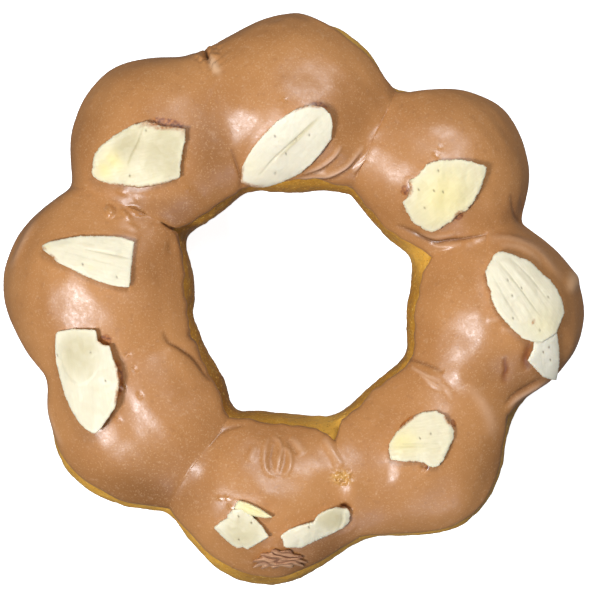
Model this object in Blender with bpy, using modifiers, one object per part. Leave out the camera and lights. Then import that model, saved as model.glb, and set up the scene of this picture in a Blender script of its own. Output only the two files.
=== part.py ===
"""A mochi doughnut: eight balls of dough joined in a ring, dipped in milk chocolate icing, with almond slices.

Run it with blender --background --python part.py. Metres, +Z up. The origin is the middle of the
doughnut's footprint, on the surface that it lies on. Sizes below are in millimetres until MM turns
them into metres. Angles are in degrees, counter-clockwise from +X seen from above.
"""

import math

import bmesh
import bpy
import numpy as np
from mathutils import Matrix

MM = 0.001

# The ring. The core line is the circle inside the dough from which its surface is reached.
HOLE_X, HOLE_Y = 0.9, -0.2
CORE_RADIUS = 31.0
CORE_HEIGHT = 12.4
RING_STEPS = 88
SECTION_STEPS = 22
FARTHEST_REACH = 21.0
HIGHEST_POINT = 36.0
HALVINGS = 24
ON_PLANE = 1e-5

# The balls: x, y, radius, and how far each is drawn out towards the hole.
BALLS = {
    "top": (0.9, 32.3, 13.7, 0.8),
    "upper_right": (24.7, 21.5, 12.9, 1.4),
    "right": (33.7, -2.2, 13.3, 1.1),
    "lower_right": (21.5, -25.9, 12.9, 0.6),
    "bottom": (-4.2, -33.2, 13.8, 0.4),
    "lower_left": (-26.5, -20.7, 13.0, 3.8),
    "left": (-32.6, 2.1, 13.9, 2.3),
    "upper_left": (-22.5, 26.2, 12.8, 2.7),
}
BALL_FLATTENING = 0.96

# The thicker necks, where two balls have run together: x, y and radius.
NECKS = ((26.6, -14.6, 8.3), (8.4, -29.4, 8.6), (-11.2, 30.6, 9.0))
FLAT_SPOT_SINK = 0.9
NECK_HEIGHT = 12.0
WELD_SOFTNESS = 2.7

# The joints between balls: angle, how much wider the hole is there, how much fuller the outside is.
WELDS = (
    (69, -0.5, 0.7),
    (23, 0.0, 0.7),
    (16, -0.1, -0.5),
    (333, 0.6, 0.4),
    (286, 0.4, 0.2),
    (238, 0.5, 0.9),
    (197, -0.6, 1.2),
    (151, 0.4, 0.8),
    (114, 0.1, -0.7),
)
WELD_HALF_ANGLE = 9.0

# The icing: a skin over the upper half. At each angle it stops this many degrees above the
# ring's mid height, on the hole's side and on the outside.
ICING_EDGE = (
    (90, 33, 8),
    (80, 33, 28),
    (70, 23, 35),
    (60, 21, 30),
    (50, 21, 14),
    (42, 21, 3),
    (22, 30, 8),
    (17, 38, 10),
    (11, 29, 9),
    (357, 27, 4),
    (345, 27, 14),
    (331, 29, 37),
    (320, 24, 26),
    (309, 22, 19),
    (291, 29, 30),
    (288, 36, 34),
    (284, 48, 36),
    (281, 38, 34),
    (277, 34, 32),
    (261, 34, 29),
    (240, 34, 32),
    (230, 30, 26),
    (205, 22, 19),
    (195, 24, 21),
    (175, 29, 6),
    (160, 31, 7),
    (151, 38, 11),
    (143, 32, 8),
    (130, 27, 5),
    (112, 27, 14),
)
ICING_THICKNESS = 0.85
ICING_ROWS = 13
GAP = 0.3

# The almond slices: the whole slice's middle, its heading, half length and half width, how blunt
# the front and back ends are (0.5 is round, more is pointed), how far it follows the ball under
# it, and its breaks, each the direction that it faces and its distance from the middle.
SLICE_THICKNESS = 0.9
SLICE_RIM_POINTS = 18
SHORTEST_EDGE = 0.15
STEEPEST_LEAN = 0.75
SLICES = {
    "almond_slice_upper_left": (-23.3, 22.9, 12, 9.3, 5.1, 0.55, 0.62, 0.6, ((-7, 5.7),)),
    "almond_slice_left": (-28.1, 6.1, -12, 12.7, 3.8, 0.5, 0.72, 0.6, ((-5, 2.2),)),
    "almond_slice_lower_left": (-32.9, -11.8, -82, 9.7, 5.1, 0.62, 0.5, 0.6, ((92, 6.8),)),
    "almond_slice_top": (-0.9, 24.7, 44, 9.2, 3.9, 0.5, 0.42, 0.6, ()),
    "almond_slice_upper_right": (
        24.2, 16.4, 40, 9.6, 6.4, 0.5, 0.5, 0.6,
        ((93, 5.5), (176, 6.1), (-25, 4.8), (-58, 3.9), (-120, 5.9), (135, 5.3)),
    ),
    "almond_slice_right": (37.5, 0.3, -55, 8.7, 5.1, 0.5, 0.5, 0.6, ()),
    "almond_slice_under_right": (
        41.2, -10.3, -80, 8.1, 8.1, 0.5, 0.5, 0.45,
        ((160, 3.0), (-124, 1.7), (2, 2.4), (70, 2.2)),
    ),
    "almond_slice_lower_right": (20.8, -22.8, 52, 5.3, 4.7, 0.48, 0.5, 0.6, ((-92, 3.4),)),
    "almond_slice_bottom_chip": (
        -8.3, -37.0, 0, 6.4, 6.4, 0.5, 0.5, 0.6,
        ((133, 3.2), (42, 2.4), (-60, 3.4), (-132, 3.0), (90, 3.0)),
    ),
    "almond_slice_bottom_sliver": (-5.7, -33.3, -27, 3.3, 0.65, 0.6, 0.7, 0.6, ()),
    "almond_slice_bottom_strip": (
        3.9, -36.8, 22, 6.4, 2.0, 0.4, 0.45, 0.6,
        ((-5, 5.4), (193, 5.6)),
    ),
}

# The torn piece of brown almond skin: an arched fan of folds, its rim notched between them.
SKIN_X, SKIN_Y = -2.1, -42.7
SKIN_HEADING = 2
SKIN_HALF_LENGTH = 4.4
SKIN_HALF_WIDTH = 1.55
SKIN_ARCH = 1.0
SKIN_FOLLOW = 0.85
SKIN_THICKNESS = 0.7
SKIN_RIM_POINTS = 40
SKIN_NOTCHES = 10
SKIN_NOTCH_DEPTH = 0.11
SKIN_FOLD_HEIGHT = 0.3
SLOPE_STEP = 0.5


def clear_scene():
    for obj in list(bpy.data.objects):
        bpy.data.objects.remove(obj, do_unlink=True)


def new_collection(name):
    collection = bpy.data.collections.new(name)
    bpy.context.scene.collection.children.link(collection)
    return collection


def new_material(name, colour, roughness):
    material = bpy.data.materials.new(name)
    material.use_nodes = True
    shader = material.node_tree.nodes["Principled BSDF"]
    shader.inputs["Base Color"].default_value = (*colour, 1.0)
    shader.inputs["Roughness"].default_value = roughness
    shader.inputs["Metallic"].default_value = 0.0
    return material


def add_object(name, mesh, material, collection):
    """The mesh as an object, from millimetres to metres, shaded smooth."""
    mesh.transform(Matrix.Scale(MM, 4))
    mesh.materials.append(material)
    mesh.shade_smooth()
    obj = bpy.data.objects.new(name, mesh)
    collection.objects.link(obj)
    return obj


def solidify(obj, thickness):
    """A wall of this thickness on the side that the surface faces."""
    wall = obj.modifiers.new("wall", "SOLIDIFY")
    wall.thickness = thickness * MM
    wall.offset = 1.0


def angle_apart(angle, other):
    """The angle between two directions in degrees, between -180 and 180."""
    return (angle - other + 180.0) % 360.0 - 180.0


def weld_shaping(points):
    """How far the surface moves out, in millimetres, by the shaping of the welds."""
    across = points[:, 0] - HOLE_X
    along = points[:, 1] - HOLE_Y
    angle = np.degrees(np.arctan2(along, across))
    outward = np.hypot(across, along) - CORE_RADIUS
    tilt = np.arctan2(points[:, 2] - CORE_HEIGHT, outward)
    outside = np.clip(np.cos(tilt), 0.0, 1.0) ** 2
    inside = np.clip(-np.cos(tilt), 0.0, 1.0) ** 2
    moved = np.zeros(len(points))
    for weld_angle, hole_wider, outside_fuller in WELDS:
        near = np.exp(-((angle_apart(angle, weld_angle) / WELD_HALF_ANGLE) ** 2))
        moved += near * (outside_fuller * outside - hole_wider * inside)
    return moved


def ball_distance(points, centre, radius, drawn):
    """The distance of each point from one ball, which is drawn out towards the hole."""
    inward = np.array((HOLE_X - centre[0], HOLE_Y - centre[1], 0.0))
    inward /= np.linalg.norm(inward)
    offset = points - np.array(centre)
    offset[:, 2] /= BALL_FLATTENING
    pulled = np.clip(offset @ inward, 0.0, drawn)
    return np.linalg.norm(offset - pulled[:, None] * inward, axis=1) - radius


def dough_distance(points):
    """The distance of each point from the dough's surface, roughly, and negative inside it."""
    gaps = []
    for x, y, radius, drawn in BALLS.values():
        height = BALL_FLATTENING * radius - FLAT_SPOT_SINK
        gaps.append(ball_distance(points, (x, y, height), radius, drawn))
    for x, y, radius in NECKS:
        gaps.append(ball_distance(points, (x, y, NECK_HEIGHT), radius, 0.0))
    total = np.exp(-np.array(gaps) / WELD_SOFTNESS).sum(axis=0)
    return -WELD_SOFTNESS * np.log(total) - weld_shaping(points)


def points_from_core(ring_angles, section_angles, distance):
    """Points at this distance from the core line; section angle 0 is outward and 90 is up."""
    ring = np.radians(ring_angles)
    section = np.radians(section_angles)
    radius = CORE_RADIUS + distance * np.cos(section)
    return np.stack(
        (
            HOLE_X + radius * np.cos(ring),
            HOLE_Y + radius * np.sin(ring),
            CORE_HEIGHT + distance * np.sin(section),
        ),
        axis=1,
    )


def surface_points(ring_angles, section_angles, offset):
    """Points this far off the dough's surface, found by halving along each ray from the core."""
    near = np.zeros(len(ring_angles))
    far = np.full(len(ring_angles), FARTHEST_REACH)
    for _ in range(HALVINGS):
        middle = (near + far) / 2
        inside = dough_distance(points_from_core(ring_angles, section_angles, middle)) < offset
        near = np.where(inside, middle, near)
        far = np.where(inside, far, middle)
    return points_from_core(ring_angles, section_angles, near)


def icing_edges(ring_angles):
    """The section angles where the icing stops, on the outside and on the hole's side."""
    marks = sorted(ICING_EDGE)
    angles = [mark[0] for mark in marks]
    hole_side = np.interp(ring_angles, angles, [mark[1] for mark in marks], period=360)
    outside = np.interp(ring_angles, angles, [mark[2] for mark in marks], period=360)
    return outside, 180.0 - hole_side


def icing_top(x, y):
    """The height of the icing's upper face over each place, found by halving from above."""
    low = np.full(len(x), CORE_HEIGHT)
    high = np.full(len(x), HIGHEST_POINT)
    for _ in range(HALVINGS):
        middle = (low + high) / 2
        outside = dough_distance(np.stack((x, y, middle), axis=1)) > GAP + ICING_THICKNESS
        high = np.where(outside, middle, high)
        low = np.where(outside, low, middle)
    return low


def make_dough(collection):
    """The ring of balls: a torus whose every point is moved out or in to the dough's surface."""
    bpy.ops.mesh.primitive_torus_add(
        location=(0, 0, 0),
        major_segments=RING_STEPS,
        minor_segments=SECTION_STEPS,
        major_radius=CORE_RADIUS,
        minor_radius=CORE_HEIGHT / 2,
    )
    torus = bpy.context.object
    mesh = torus.data.copy()
    bpy.data.objects.remove(torus, do_unlink=True)
    places = np.array([vertex.co[:] for vertex in mesh.vertices])
    outward = np.hypot(places[:, 0], places[:, 1]) - CORE_RADIUS
    ring_angles = np.degrees(np.arctan2(places[:, 1], places[:, 0]))
    section_angles = np.degrees(np.arctan2(places[:, 2], outward))
    skin = surface_points(ring_angles, section_angles, 0.0)
    skin[:, 2] = np.maximum(skin[:, 2], 0.0)
    for vertex, place in zip(mesh.vertices, skin):
        vertex.co = place
    golden = new_material("fried_dough", (0.50, 0.27, 0.08), 0.65)
    return add_object("dough_ring", mesh, golden, collection)


def make_icing(collection):
    """A band spun round the ring, laid just off the dough and thickened outwards."""
    band = bmesh.new()
    row = [band.verts.new((CORE_RADIUS, 0.0, float(i))) for i in range(ICING_ROWS + 1)]
    edges = [band.edges.new(pair) for pair in zip(row, row[1:])]
    bmesh.ops.spin(
        band,
        geom=row + edges,
        axis=(0, 0, 1),
        cent=(0, 0, 0),
        angle=2 * math.pi,
        steps=RING_STEPS,
        use_merge=True,
    )
    places = np.array([vertex.co[:] for vertex in band.verts])
    ring_angles = np.degrees(np.arctan2(places[:, 1], places[:, 0]))
    outside_edge, hole_edge = icing_edges(ring_angles)
    share = places[:, 2] / ICING_ROWS
    section_angles = outside_edge + share * (hole_edge - outside_edge)
    skin = surface_points(ring_angles, section_angles, GAP)
    for vertex, place in zip(band.verts, skin):
        vertex.co = place
    bmesh.ops.recalc_face_normals(band, faces=band.faces)
    band.faces.ensure_lookup_table()
    highest = max(band.faces, key=lambda face: face.calc_center_median().z)
    if highest.normal.z < 0:
        bmesh.ops.reverse_faces(band, faces=band.faces)
    mesh = bpy.data.meshes.new("chocolate_icing")
    band.to_mesh(mesh)
    band.free()
    chocolate = new_material("milk_chocolate_icing", (0.48, 0.22, 0.10), 0.35)
    icing = add_object("chocolate_icing", mesh, chocolate, collection)
    solidify(icing, ICING_THICKNESS)
    return icing


def icing_slope(x, y):
    """The icing's slope along X and Y at one place."""
    around_x = np.array((x + SLOPE_STEP, x - SLOPE_STEP, x, x))
    around_y = np.array((y, y, y + SLOPE_STEP, y - SLOPE_STEP))
    east, west, north, south = icing_top(around_x, around_y)
    return np.array((east - west, north - south)) / (2 * SLOPE_STEP)


def drape(sheet, centre, follow):
    """Lay a flat sheet on the icing: part way between its own plane and the ball under it."""
    slope = icing_slope(*centre)
    steepness = np.linalg.norm(slope)
    lift = GAP * math.hypot(1.0, steepness)
    slope *= min(1.0, STEEPEST_LEAN / steepness)
    x = np.array([vertex.co.x for vertex in sheet.verts])
    y = np.array([vertex.co.y for vertex in sheet.verts])
    under = icing_top(x, y)
    clear = slope[0] * (x - centre[0]) + slope[1] * (y - centre[1]) - under
    heights = under + (1.0 - follow) * (clear - clear.min()) + lift
    for vertex, height in zip(sheet.verts, heights):
        vertex.co.z = height


def new_disc(rim_points):
    """A round sheet of radius 1, a fan of triangles with one ring of points inside its rim."""
    sheet = bmesh.new()
    bmesh.ops.create_circle(sheet, cap_ends=True, cap_tris=True, segments=rim_points, radius=1.0)
    hub = min(sheet.verts, key=lambda vertex: vertex.co.length)
    bmesh.ops.subdivide_edges(sheet, edges=list(hub.link_edges), cuts=1)
    bmesh.ops.triangulate(sheet, faces=sheet.faces)
    return sheet


def turn_and_place(sheet, centre, heading):
    turn = math.radians(heading)
    for vertex in sheet.verts:
        x, y = vertex.co.x, vertex.co.y
        vertex.co.x = centre[0] + x * math.cos(turn) - y * math.sin(turn)
        vertex.co.y = centre[1] + x * math.sin(turn) + y * math.cos(turn)


def face_up(sheet):
    bmesh.ops.recalc_face_normals(sheet, faces=sheet.faces)
    first = next(iter(sheet.faces))
    if first.normal.z < 0:
        bmesh.ops.reverse_faces(sheet, faces=sheet.faces)


def break_off(sheet, centre, facing, distance):
    """Take away what lies beyond a straight break."""
    turn = math.radians(facing)
    normal = (math.cos(turn), math.sin(turn), 0.0)
    place = (centre[0] + distance * normal[0], centre[1] + distance * normal[1], 0.0)
    bmesh.ops.bisect_plane(
        sheet,
        geom=sheet.verts[:] + sheet.edges[:] + sheet.faces[:],
        dist=ON_PLANE,
        plane_co=place,
        plane_no=normal,
        clear_outer=True,
    )


def make_slice(name, sizes, material, collection):
    """A thin almond slice: a disc drawn out to an almond's outline, broken, and laid on the icing."""
    x, y, heading, half_length, half_width, front, back, follow, breaks = sizes
    sheet = new_disc(SLICE_RIM_POINTS)
    for vertex in sheet.verts:
        radius = vertex.co.length
        if radius < ON_PLANE:
            continue
        along = vertex.co.x / radius
        across = vertex.co.y / radius
        bluntness = back + (front - back) * (along + 1) / 2
        swell = math.copysign(abs(across) ** (2 * bluntness), across)
        vertex.co.x = half_length * radius * along
        vertex.co.y = half_width * radius * swell
    turn_and_place(sheet, (x, y), heading)
    for facing, distance in breaks:
        break_off(sheet, (x, y), facing, distance)
    bmesh.ops.remove_doubles(sheet, verts=sheet.verts, dist=SHORTEST_EDGE)
    bmesh.ops.triangulate(sheet, faces=sheet.faces)
    face_up(sheet)
    middle = np.mean([vertex.co[:2] for vertex in sheet.verts], axis=0)
    drape(sheet, middle, follow)
    mesh = bpy.data.meshes.new(name)
    sheet.to_mesh(mesh)
    sheet.free()
    piece = add_object(name, mesh, material, collection)
    solidify(piece, SLICE_THICKNESS)
    return piece


def thicken_upwards(sheet, thickness):
    """Turn a sheet into a slab whose upper face is the lower one raised, so its folds can't cross."""
    raised = bmesh.ops.extrude_face_region(sheet, geom=sheet.faces[:], use_keep_orig=True)
    upper = [item for item in raised["geom"] if isinstance(item, bmesh.types.BMVert)]
    bmesh.ops.translate(sheet, verts=upper, vec=(0.0, 0.0, thickness))
    bmesh.ops.recalc_face_normals(sheet, faces=sheet.faces)


def make_skin(collection):
    """The torn skin: a fan with a notched rim and raised folds that run out to the notches."""
    sheet = new_disc(SKIN_RIM_POINTS)
    folds = []
    for vertex in sheet.verts:
        radius = vertex.co.length
        wave = math.cos(SKIN_NOTCHES * math.atan2(vertex.co.y, vertex.co.x))
        arch = SKIN_ARCH * (1.0 - vertex.co.x**2)
        notch = 1.0 - SKIN_NOTCH_DEPTH * (1.0 - wave)
        vertex.co.x *= SKIN_HALF_LENGTH * notch
        vertex.co.y = SKIN_HALF_WIDTH * notch * vertex.co.y + arch
        folds.append(SKIN_FOLD_HEIGHT * radius * (1.0 + wave))
    turn_and_place(sheet, (SKIN_X, SKIN_Y), SKIN_HEADING)
    face_up(sheet)
    drape(sheet, (SKIN_X, SKIN_Y), SKIN_FOLLOW)
    for vertex, fold in zip(sheet.verts, folds):
        vertex.co.z += fold
    thicken_upwards(sheet, SKIN_THICKNESS)
    mesh = bpy.data.meshes.new("almond_skin_shred")
    sheet.to_mesh(mesh)
    sheet.free()
    brown = new_material("almond_skin", (0.28, 0.13, 0.07), 0.7)
    return add_object("almond_skin_shred", mesh, brown, collection)


def main():
    clear_scene()
    collection = new_collection("mochi_doughnut")
    make_dough(collection)
    make_icing(collection)
    ivory = new_material("almond", (0.86, 0.80, 0.58), 0.55)
    for name, sizes in SLICES.items():
        make_slice(name, sizes, ivory, collection)
    make_skin(collection)


main()
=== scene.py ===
import math

import bmesh
import bpy
import numpy as np
from mathutils import Matrix, Vector, noise


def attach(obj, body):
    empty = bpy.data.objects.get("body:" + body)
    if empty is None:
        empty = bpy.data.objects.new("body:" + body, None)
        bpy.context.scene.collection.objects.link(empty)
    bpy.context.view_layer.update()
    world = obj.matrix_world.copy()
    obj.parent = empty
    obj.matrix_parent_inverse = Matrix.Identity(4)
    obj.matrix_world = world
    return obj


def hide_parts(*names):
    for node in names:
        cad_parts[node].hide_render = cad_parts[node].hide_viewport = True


# A mochi doughnut: eight balls of dough in a ring, dipped in milk chocolate icing, with almond
# slices. Sizes are in millimetres and angles in degrees until MM turns them into metres. Places on
# top are (across, along) as seen from the eye straight above, at the ring's mid height. A spot is a
# place, its half width and half height, and its turn.

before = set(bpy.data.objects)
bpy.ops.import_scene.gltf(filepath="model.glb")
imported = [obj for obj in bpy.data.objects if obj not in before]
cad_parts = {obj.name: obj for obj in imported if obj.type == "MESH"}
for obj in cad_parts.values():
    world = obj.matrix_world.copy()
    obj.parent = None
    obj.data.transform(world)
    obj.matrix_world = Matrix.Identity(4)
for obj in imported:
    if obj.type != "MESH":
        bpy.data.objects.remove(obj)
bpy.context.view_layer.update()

MM = 0.001
EYE_X, EYE_Y, EYE_HEIGHT = 1.24, -0.165, 462.4
FIELD_WIDTH = 99.0
FILM_WIDTH = 36.0

# The ring, as in the solid part: each ball's place, radius and how far it is drawn out towards the
# hole, the necks between balls, and how each weld widens the hole and fills the outside.
HOLE_X, HOLE_Y = 0.9, -0.2
CORE_RADIUS = 31.0
CORE_HEIGHT = 12.4
FARTHEST_REACH = 21.0
HIGHEST_POINT = 36.0
HALVINGS = 24
BALLS = {
    "top": (0.9, 32.3, 13.7, 0.8), "upper_right": (24.7, 21.5, 12.9, 1.4),
    "right": (33.7, -2.2, 13.3, 1.1), "lower_right": (21.5, -25.9, 12.9, 0.6),
    "bottom": (-4.2, -33.2, 13.8, 0.4), "lower_left": (-26.5, -20.7, 13.0, 3.8),
    "left": (-32.6, 2.1, 13.9, 2.3), "upper_left": (-22.5, 26.2, 12.8, 2.7),
}
BALL_FLATTENING = 0.96
NECKS = ((26.6, -14.6, 8.3), (8.4, -29.4, 8.6), (-11.2, 30.6, 9.0))
FLAT_SPOT_SINK = 0.9
NECK_HEIGHT = 12.0
WELD_SOFTNESS = 2.7
WELD_HALF_ANGLE = 9.0
WELDS = (
    (69, -0.5, 0.7), (23, 0.0, 0.7), (16, -0.1, -0.5), (333, 0.6, 0.4), (286, 0.4, 0.2),
    (238, 0.5, 0.9), (197, -0.6, 1.2), (151, 0.4, 0.8), (114, 0.1, -0.7),
)
# Where the icing stops: ring angle, then the section angles on the hole's side and outside.
ICING_EDGE = (
    (90, 33, 8), (80, 33, 28), (70, 23, 35), (60, 21, 30), (50, 21, 14), (42, 21, 3), (22, 30, 8),
    (17, 38, 10), (11, 29, 9), (357, 27, 4), (345, 27, 14), (331, 29, 37), (320, 24, 26),
    (309, 22, 19), (291, 29, 30), (288, 36, 34), (284, 48, 36), (281, 38, 34), (277, 34, 32),
    (261, 34, 29), (240, 34, 32), (230, 30, 26), (205, 22, 19), (195, 24, 21), (175, 29, 6),
    (160, 31, 7), (151, 38, 11), (143, 32, 8), (130, 27, 5), (112, 27, 14),
)

# The fine meshes, which lie closer together round some ring angles: angle, half width, how much.
DOUGH_RING_STEPS = 560
DOUGH_SECTION_STEPS = 160
ICING_RING_STEPS = 610
ICING_TOP_ROWS = 134
ICING_LIP_ROWS = 10
ICING_UNDER_ROWS = 6
CROWDED = ((150, 7, 1.6), (277, 9, 0.8), (20, 8, 0.8), (80, 8, 0.7), (315, 8, 0.5), (111, 5, 0.8))
TOP_ROW_CROWDING = 0.055
SLICE_SECTORS = 220
SLICE_TOP_ROWS = 34
SLICE_UNDER_ROWS = 8
RIM_STEPS = 720
RIM_REACH = 8
RIM_SMOOTHING = 3.2
RIM_WAVES = (17, 31, 53, 83, 119)

# The unevenness of the crust and the icing: height, size, seed.
CRUST_WAVE = (0.07, 5.0, 11)
CRUST_GRAINS = ((0.06, 1.6, 12), (0.035, 0.7, 13))
ICING_WAVES = ((0.04, 11.0, 3), (0.022, 3.5, 4))

# Painted shade on the dough: darker where it is steep, most on the hole's side, and a painted
# shadow just under the icing's edges.
STEEP_BELOW = 0.74
STEEP_RANGE = 0.45
STEEP_OUTSIDE = 0.35
LIP_SHADE_ANGLE = 3.0

# The icing: how thick over the dough, how far its underside sinks into it, how wide the round of
# its lip is, the bead behind the lip, and how far in from the lip the relief sets in.
ICING_TOP = 1.15
ICING_SUNK = 0.35
LIP_WIDTH = 1.0
LIP_BEAD, BEAD_INSET, BEAD_WIDTH = 0.12, 1.3, 0.9
RELIEF_INSET = 1.5
FAR_FROM_LIP = 1000.0
EDGE_WANDER = 1.6
OUTSIDE_WAVES = ((1.0, 13, 1.0), (0.7, 29, 2.2), (0.5, 47, 0.0))
HOLE_WAVES = ((1.0, 17, 0.4), (0.7, 31, 1.3), (0.5, 53, 0.0))
SECTION_RADIUS = 13.5
DEGREES_PER_MM = 360.0 / (2 * math.pi * SECTION_RADIUS)

# Icing that has run into the valleys: how much of it at each weld, how soft it makes the valley,
# how far round the ring it reaches, and between which heights it sets in.
POOLS = (
    (69, 0.9), (16, 0.15), (333, 0.8), (286, 0.9), (238, 1.0), (197, 1.0), (151, 1.0), (114, 0.9),
)
POOL_SOFTNESS = 5.2
POOL_HALF_ANGLE = 20.0
POOL_LOW = 14.0
POOL_HIGH = 20.0

# Soft raised folds of icing: the line they follow, half width, height, and how strong the painted
# highlight along each crest is.
FOLDS = (
    # drawn towards the hole, between the top and the upper right ball
    (((16.8, 34.3), (14.9, 30.7), (12.7, 26.7), (10.9, 23.1)), 1.5, 0.24, 0.0),
    (((0.5, 21.1), (2.3, 21.9), (3.8, 22.8), (5.4, 24.2), (6.4, 25.9)), 0.36, 0.36, 1.0),
    (((-1.2, 20), (2.8, 20.7), (4.8, 21.3), (7.2, 22.7), (8.8, 24.6), (9.7, 25.9)),
        0.38, 0.38, 1.0),
    (((2, 21.2), (3.1, 21.4), (4.3, 21.5)), 0.3, 0.2, 1.0),
    (((8.2, 21.9), (9.6, 23.1), (10.8, 24.3)), 0.42, 0.28, 1.0),
    # either side of the crease between the upper right and the right ball
    (((19.2, 10.9), (22.4, 10.6), (25.6, 10.9)), 0.6, 0.24, 0.35),
    (((21.8, 9.2), (24.3, 8.9), (26.6, 9.2)), 0.6, 0.24, 0.35),
    (((28.4, 9.7), (30.7, 10.4)), 0.5, 0.18, 0.35),
    (((30.8, 10.1), (34.7, 9.7), (38.9, 8.1), (41.6, 5.3), (43.2, 3)), 0.8, 0.21, 0.35),
    (((32.7, 8.9), (36.6, 8.2), (39.8, 5.9)), 0.6, 0.12, 0.35),
    # in the neck between the right and the lower right ball
    (((18.9, -11.7), (21.4, -12.9), (23.4, -13.6)), 0.4, 0.2, 0.6),
    (((20.2, -12.6), (22.1, -14.2), (23.7, -15.1)), 0.4, 0.18, 0.6),
    (((22.8, -13.7), (24.3, -15), (24.9, -16.8)), 0.4, 0.1, 0.4),
    (((27.5, -13.6), (29.4, -16.7), (30.6, -19.6), (31.1, -22.7)), 1.3, 0.21, 0.35),
    (((33.5, -17.3), (35.3, -15.7), (38, -14.3), (40.6, -12.9)), 0.45, 0.3, 0.7),
    # beside the slice on the right ball
    (((30.9, -3.1), (32, -3.4), (33.2, -2.8)), 0.35, 0.18, 0.35),
    (((33.2, -5), (34.6, -5.1), (36.3, -5.9)), 0.4, 0.15, 0.35),
    # in the neck between the lower right and the bottom ball
    (((3.5, -23.4), (5.1, -25.6), (6.6, -27.8)), 0.8, 0.36, 0.35),
    # strokes left by something pressed on the bottom ball
    (((-5, -22.8), (-5.7, -24.4), (-5.9, -26.6), (-5.4, -28.4), (-4.1, -29.2)), 0.33, 0.26, 0.35),
    (((-4.6, -22.6), (-3.5, -23.3), (-3.1, -24.6), (-3.5, -26.7), (-4, -28.9)), 0.3, 0.26, 0.35),
    (((-3.1, -24.4), (-2.1, -24.8), (-1.6, -26.2), (-1.9, -28.1), (-2.8, -29.2)), 0.34, 0.22, 0.35),
    (((-7.2, -24.3), (-7.8, -25.6), (-8.3, -26.9)), 0.5, 0.18, 0.35),
    (((-1.7, -22.8), (-0.5, -24.1), (0.5, -25.7)), 0.7, 0.14, 0.35),
    # down the outsides of the left balls
    (((-41, -15.1), (-40.3, -20.5), (-38.8, -24)), 0.5, 0.18, 0.35),
    (((-43.2, 12.9), (-45.2, 9.9), (-46.7, 7.1), (-47.7, 5.1)), 0.6, 0.24, 0.35),
    # the crumbly edge of the tear between the upper left and the top ball
    (((-14.5, 39.1), (-13.9, 38), (-12.9, 37)), 0.45, 0.24, 0.35),
)

# Creases and scratches: the line they follow, half width, depth.
VALLEY_LINE = ((-23.6, 12.6), (-22.9, 11.9), (-21.9, 11.4), (-20.6, 11.6), (-19.1, 12.4))
LEFT_LINE = (
    (-23.3, -4.7), (-22.4, -6.9), (-20.5, -8.5), (-17.9, -10.4), (-16, -12.6), (-15.1, -13.6),
)
CREASES = (
    (((12.6, 28.4), (13, 29.7), (13.6, 30.9)), 0.25, 0.22),
    (((13.9, 28.7), (14.5, 30.7)), 0.22, 0.14),
    (((15.7, 12.4), (18.6, 11.3), (22.1, 9.7), (24.3, 9.9), (26.8, 10.1), (28.4, 10.4),
        (30.8, 10.7)), 0.4, 0.6),
    (((34.7, 17.6), (35.1, 15.2), (36, 13.2), (37.9, 11.9)), 0.5, 0.3),
    (((36.3, 17.2), (36.8, 14.5), (37.5, 12.9)), 0.3, 0.15),
    (((17.8, -10.2), (19.8, -10.3), (22.1, -11.1), (24, -12)), 0.4, 0.4),
    (((33.5, -18), (33.5, -20.2), (34.1, -22.7)), 0.5, 0.3),
    (((-14.5, -24.6), (-13.4, -23.4), (-11.9, -22.4), (-8.8, -21.4)), 0.35, 0.3),
    (LEFT_LINE, 0.4, 0.45),
    (((-19.4, -4.7), (-19.2, -6), (-17.6, -7.3), (-16, -9.2)), 0.4, 0.3),
    (((-11.4, 25.4), (-10.1, 21.4), (-10.4, 19.5)), 0.5, 0.35),
    (VALLEY_LINE, 0.45, 1.0),
    (((-22.3, 11.4), (-21.3, 10.1), (-20.2, 8.1), (-19.1, 5.3)), 0.35, 0.35),
    (((-15.7, 41.2), (-15, 39.4), (-14, 37.8)), 0.4, 0.6),
    (((0, 20.5), (2.6, 21.4), (4.8, 22.9), (6.3, 24.6)), 0.28, 0.4),
    (((-1.7, 19.5), (2.6, 20), (5.6, 21), (8.2, 22.8), (9.6, 24.6)), 0.28, 0.5),
    (((8.6, 21), (10.1, 22.6), (11.4, 24.1)), 0.3, 0.25),
    (((33.2, -16.7), (35, -15.1), (37.6, -13.7), (40.1, -12.4)), 0.35, 0.4),
    (((33.7, -18.3), (35.6, -16.7), (38.3, -15.1), (40.4, -13.9)), 0.3, 0.3),
    (((-4.5, -23.9), (-4.7, -25.7), (-4.8, -27.9)), 0.22, 0.25),
    (((-2.6, -25.6), (-2.7, -27.2), (-3.2, -28.4)), 0.2, 0.2),
    (((-2.3, -22.6), (-1.7, -23.9), (-0.5, -25.6)), 0.4, 0.25),
)
SCRATCHES = (
    (((33.8, -9.1), (33.7, -10.2), (33.9, -11.2), (33.5, -12.2), (33.5, -13.4)), 0.45, 0.3),
    (((38, -6.9), (37.3, -8.6), (37, -9.9), (37.5, -11.2)), 0.7, 0.3),
    (((6.3, -33.9), (7.1, -33.6), (7.9, -34.2)), 0.42, 0.15),
)

# Where one layer of icing ends over another: the line, raised on its left, height, half width of
# the step, how far the raised side reaches.
LEDGES = (
    (((-13, 35.6), (-17.5, 38), (-24.9, 38), (-32, 36.3)), 0.3, 0.9, 5.0),
    (((42.9, 7.9), (38, 9.6), (33.8, 10.6), (30.8, 10.7)), 0.35, 0.4, 3.0),
    (LEFT_LINE[::-1], 0.4, 0.4, 3.0),
    (((43.2, -10.7), (45.1, -8.2), (46, -4.7)), 0.4, 0.3, 2.5),
    (VALLEY_LINE[::-1], 0.5, 0.3, 2.2),
)

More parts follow.
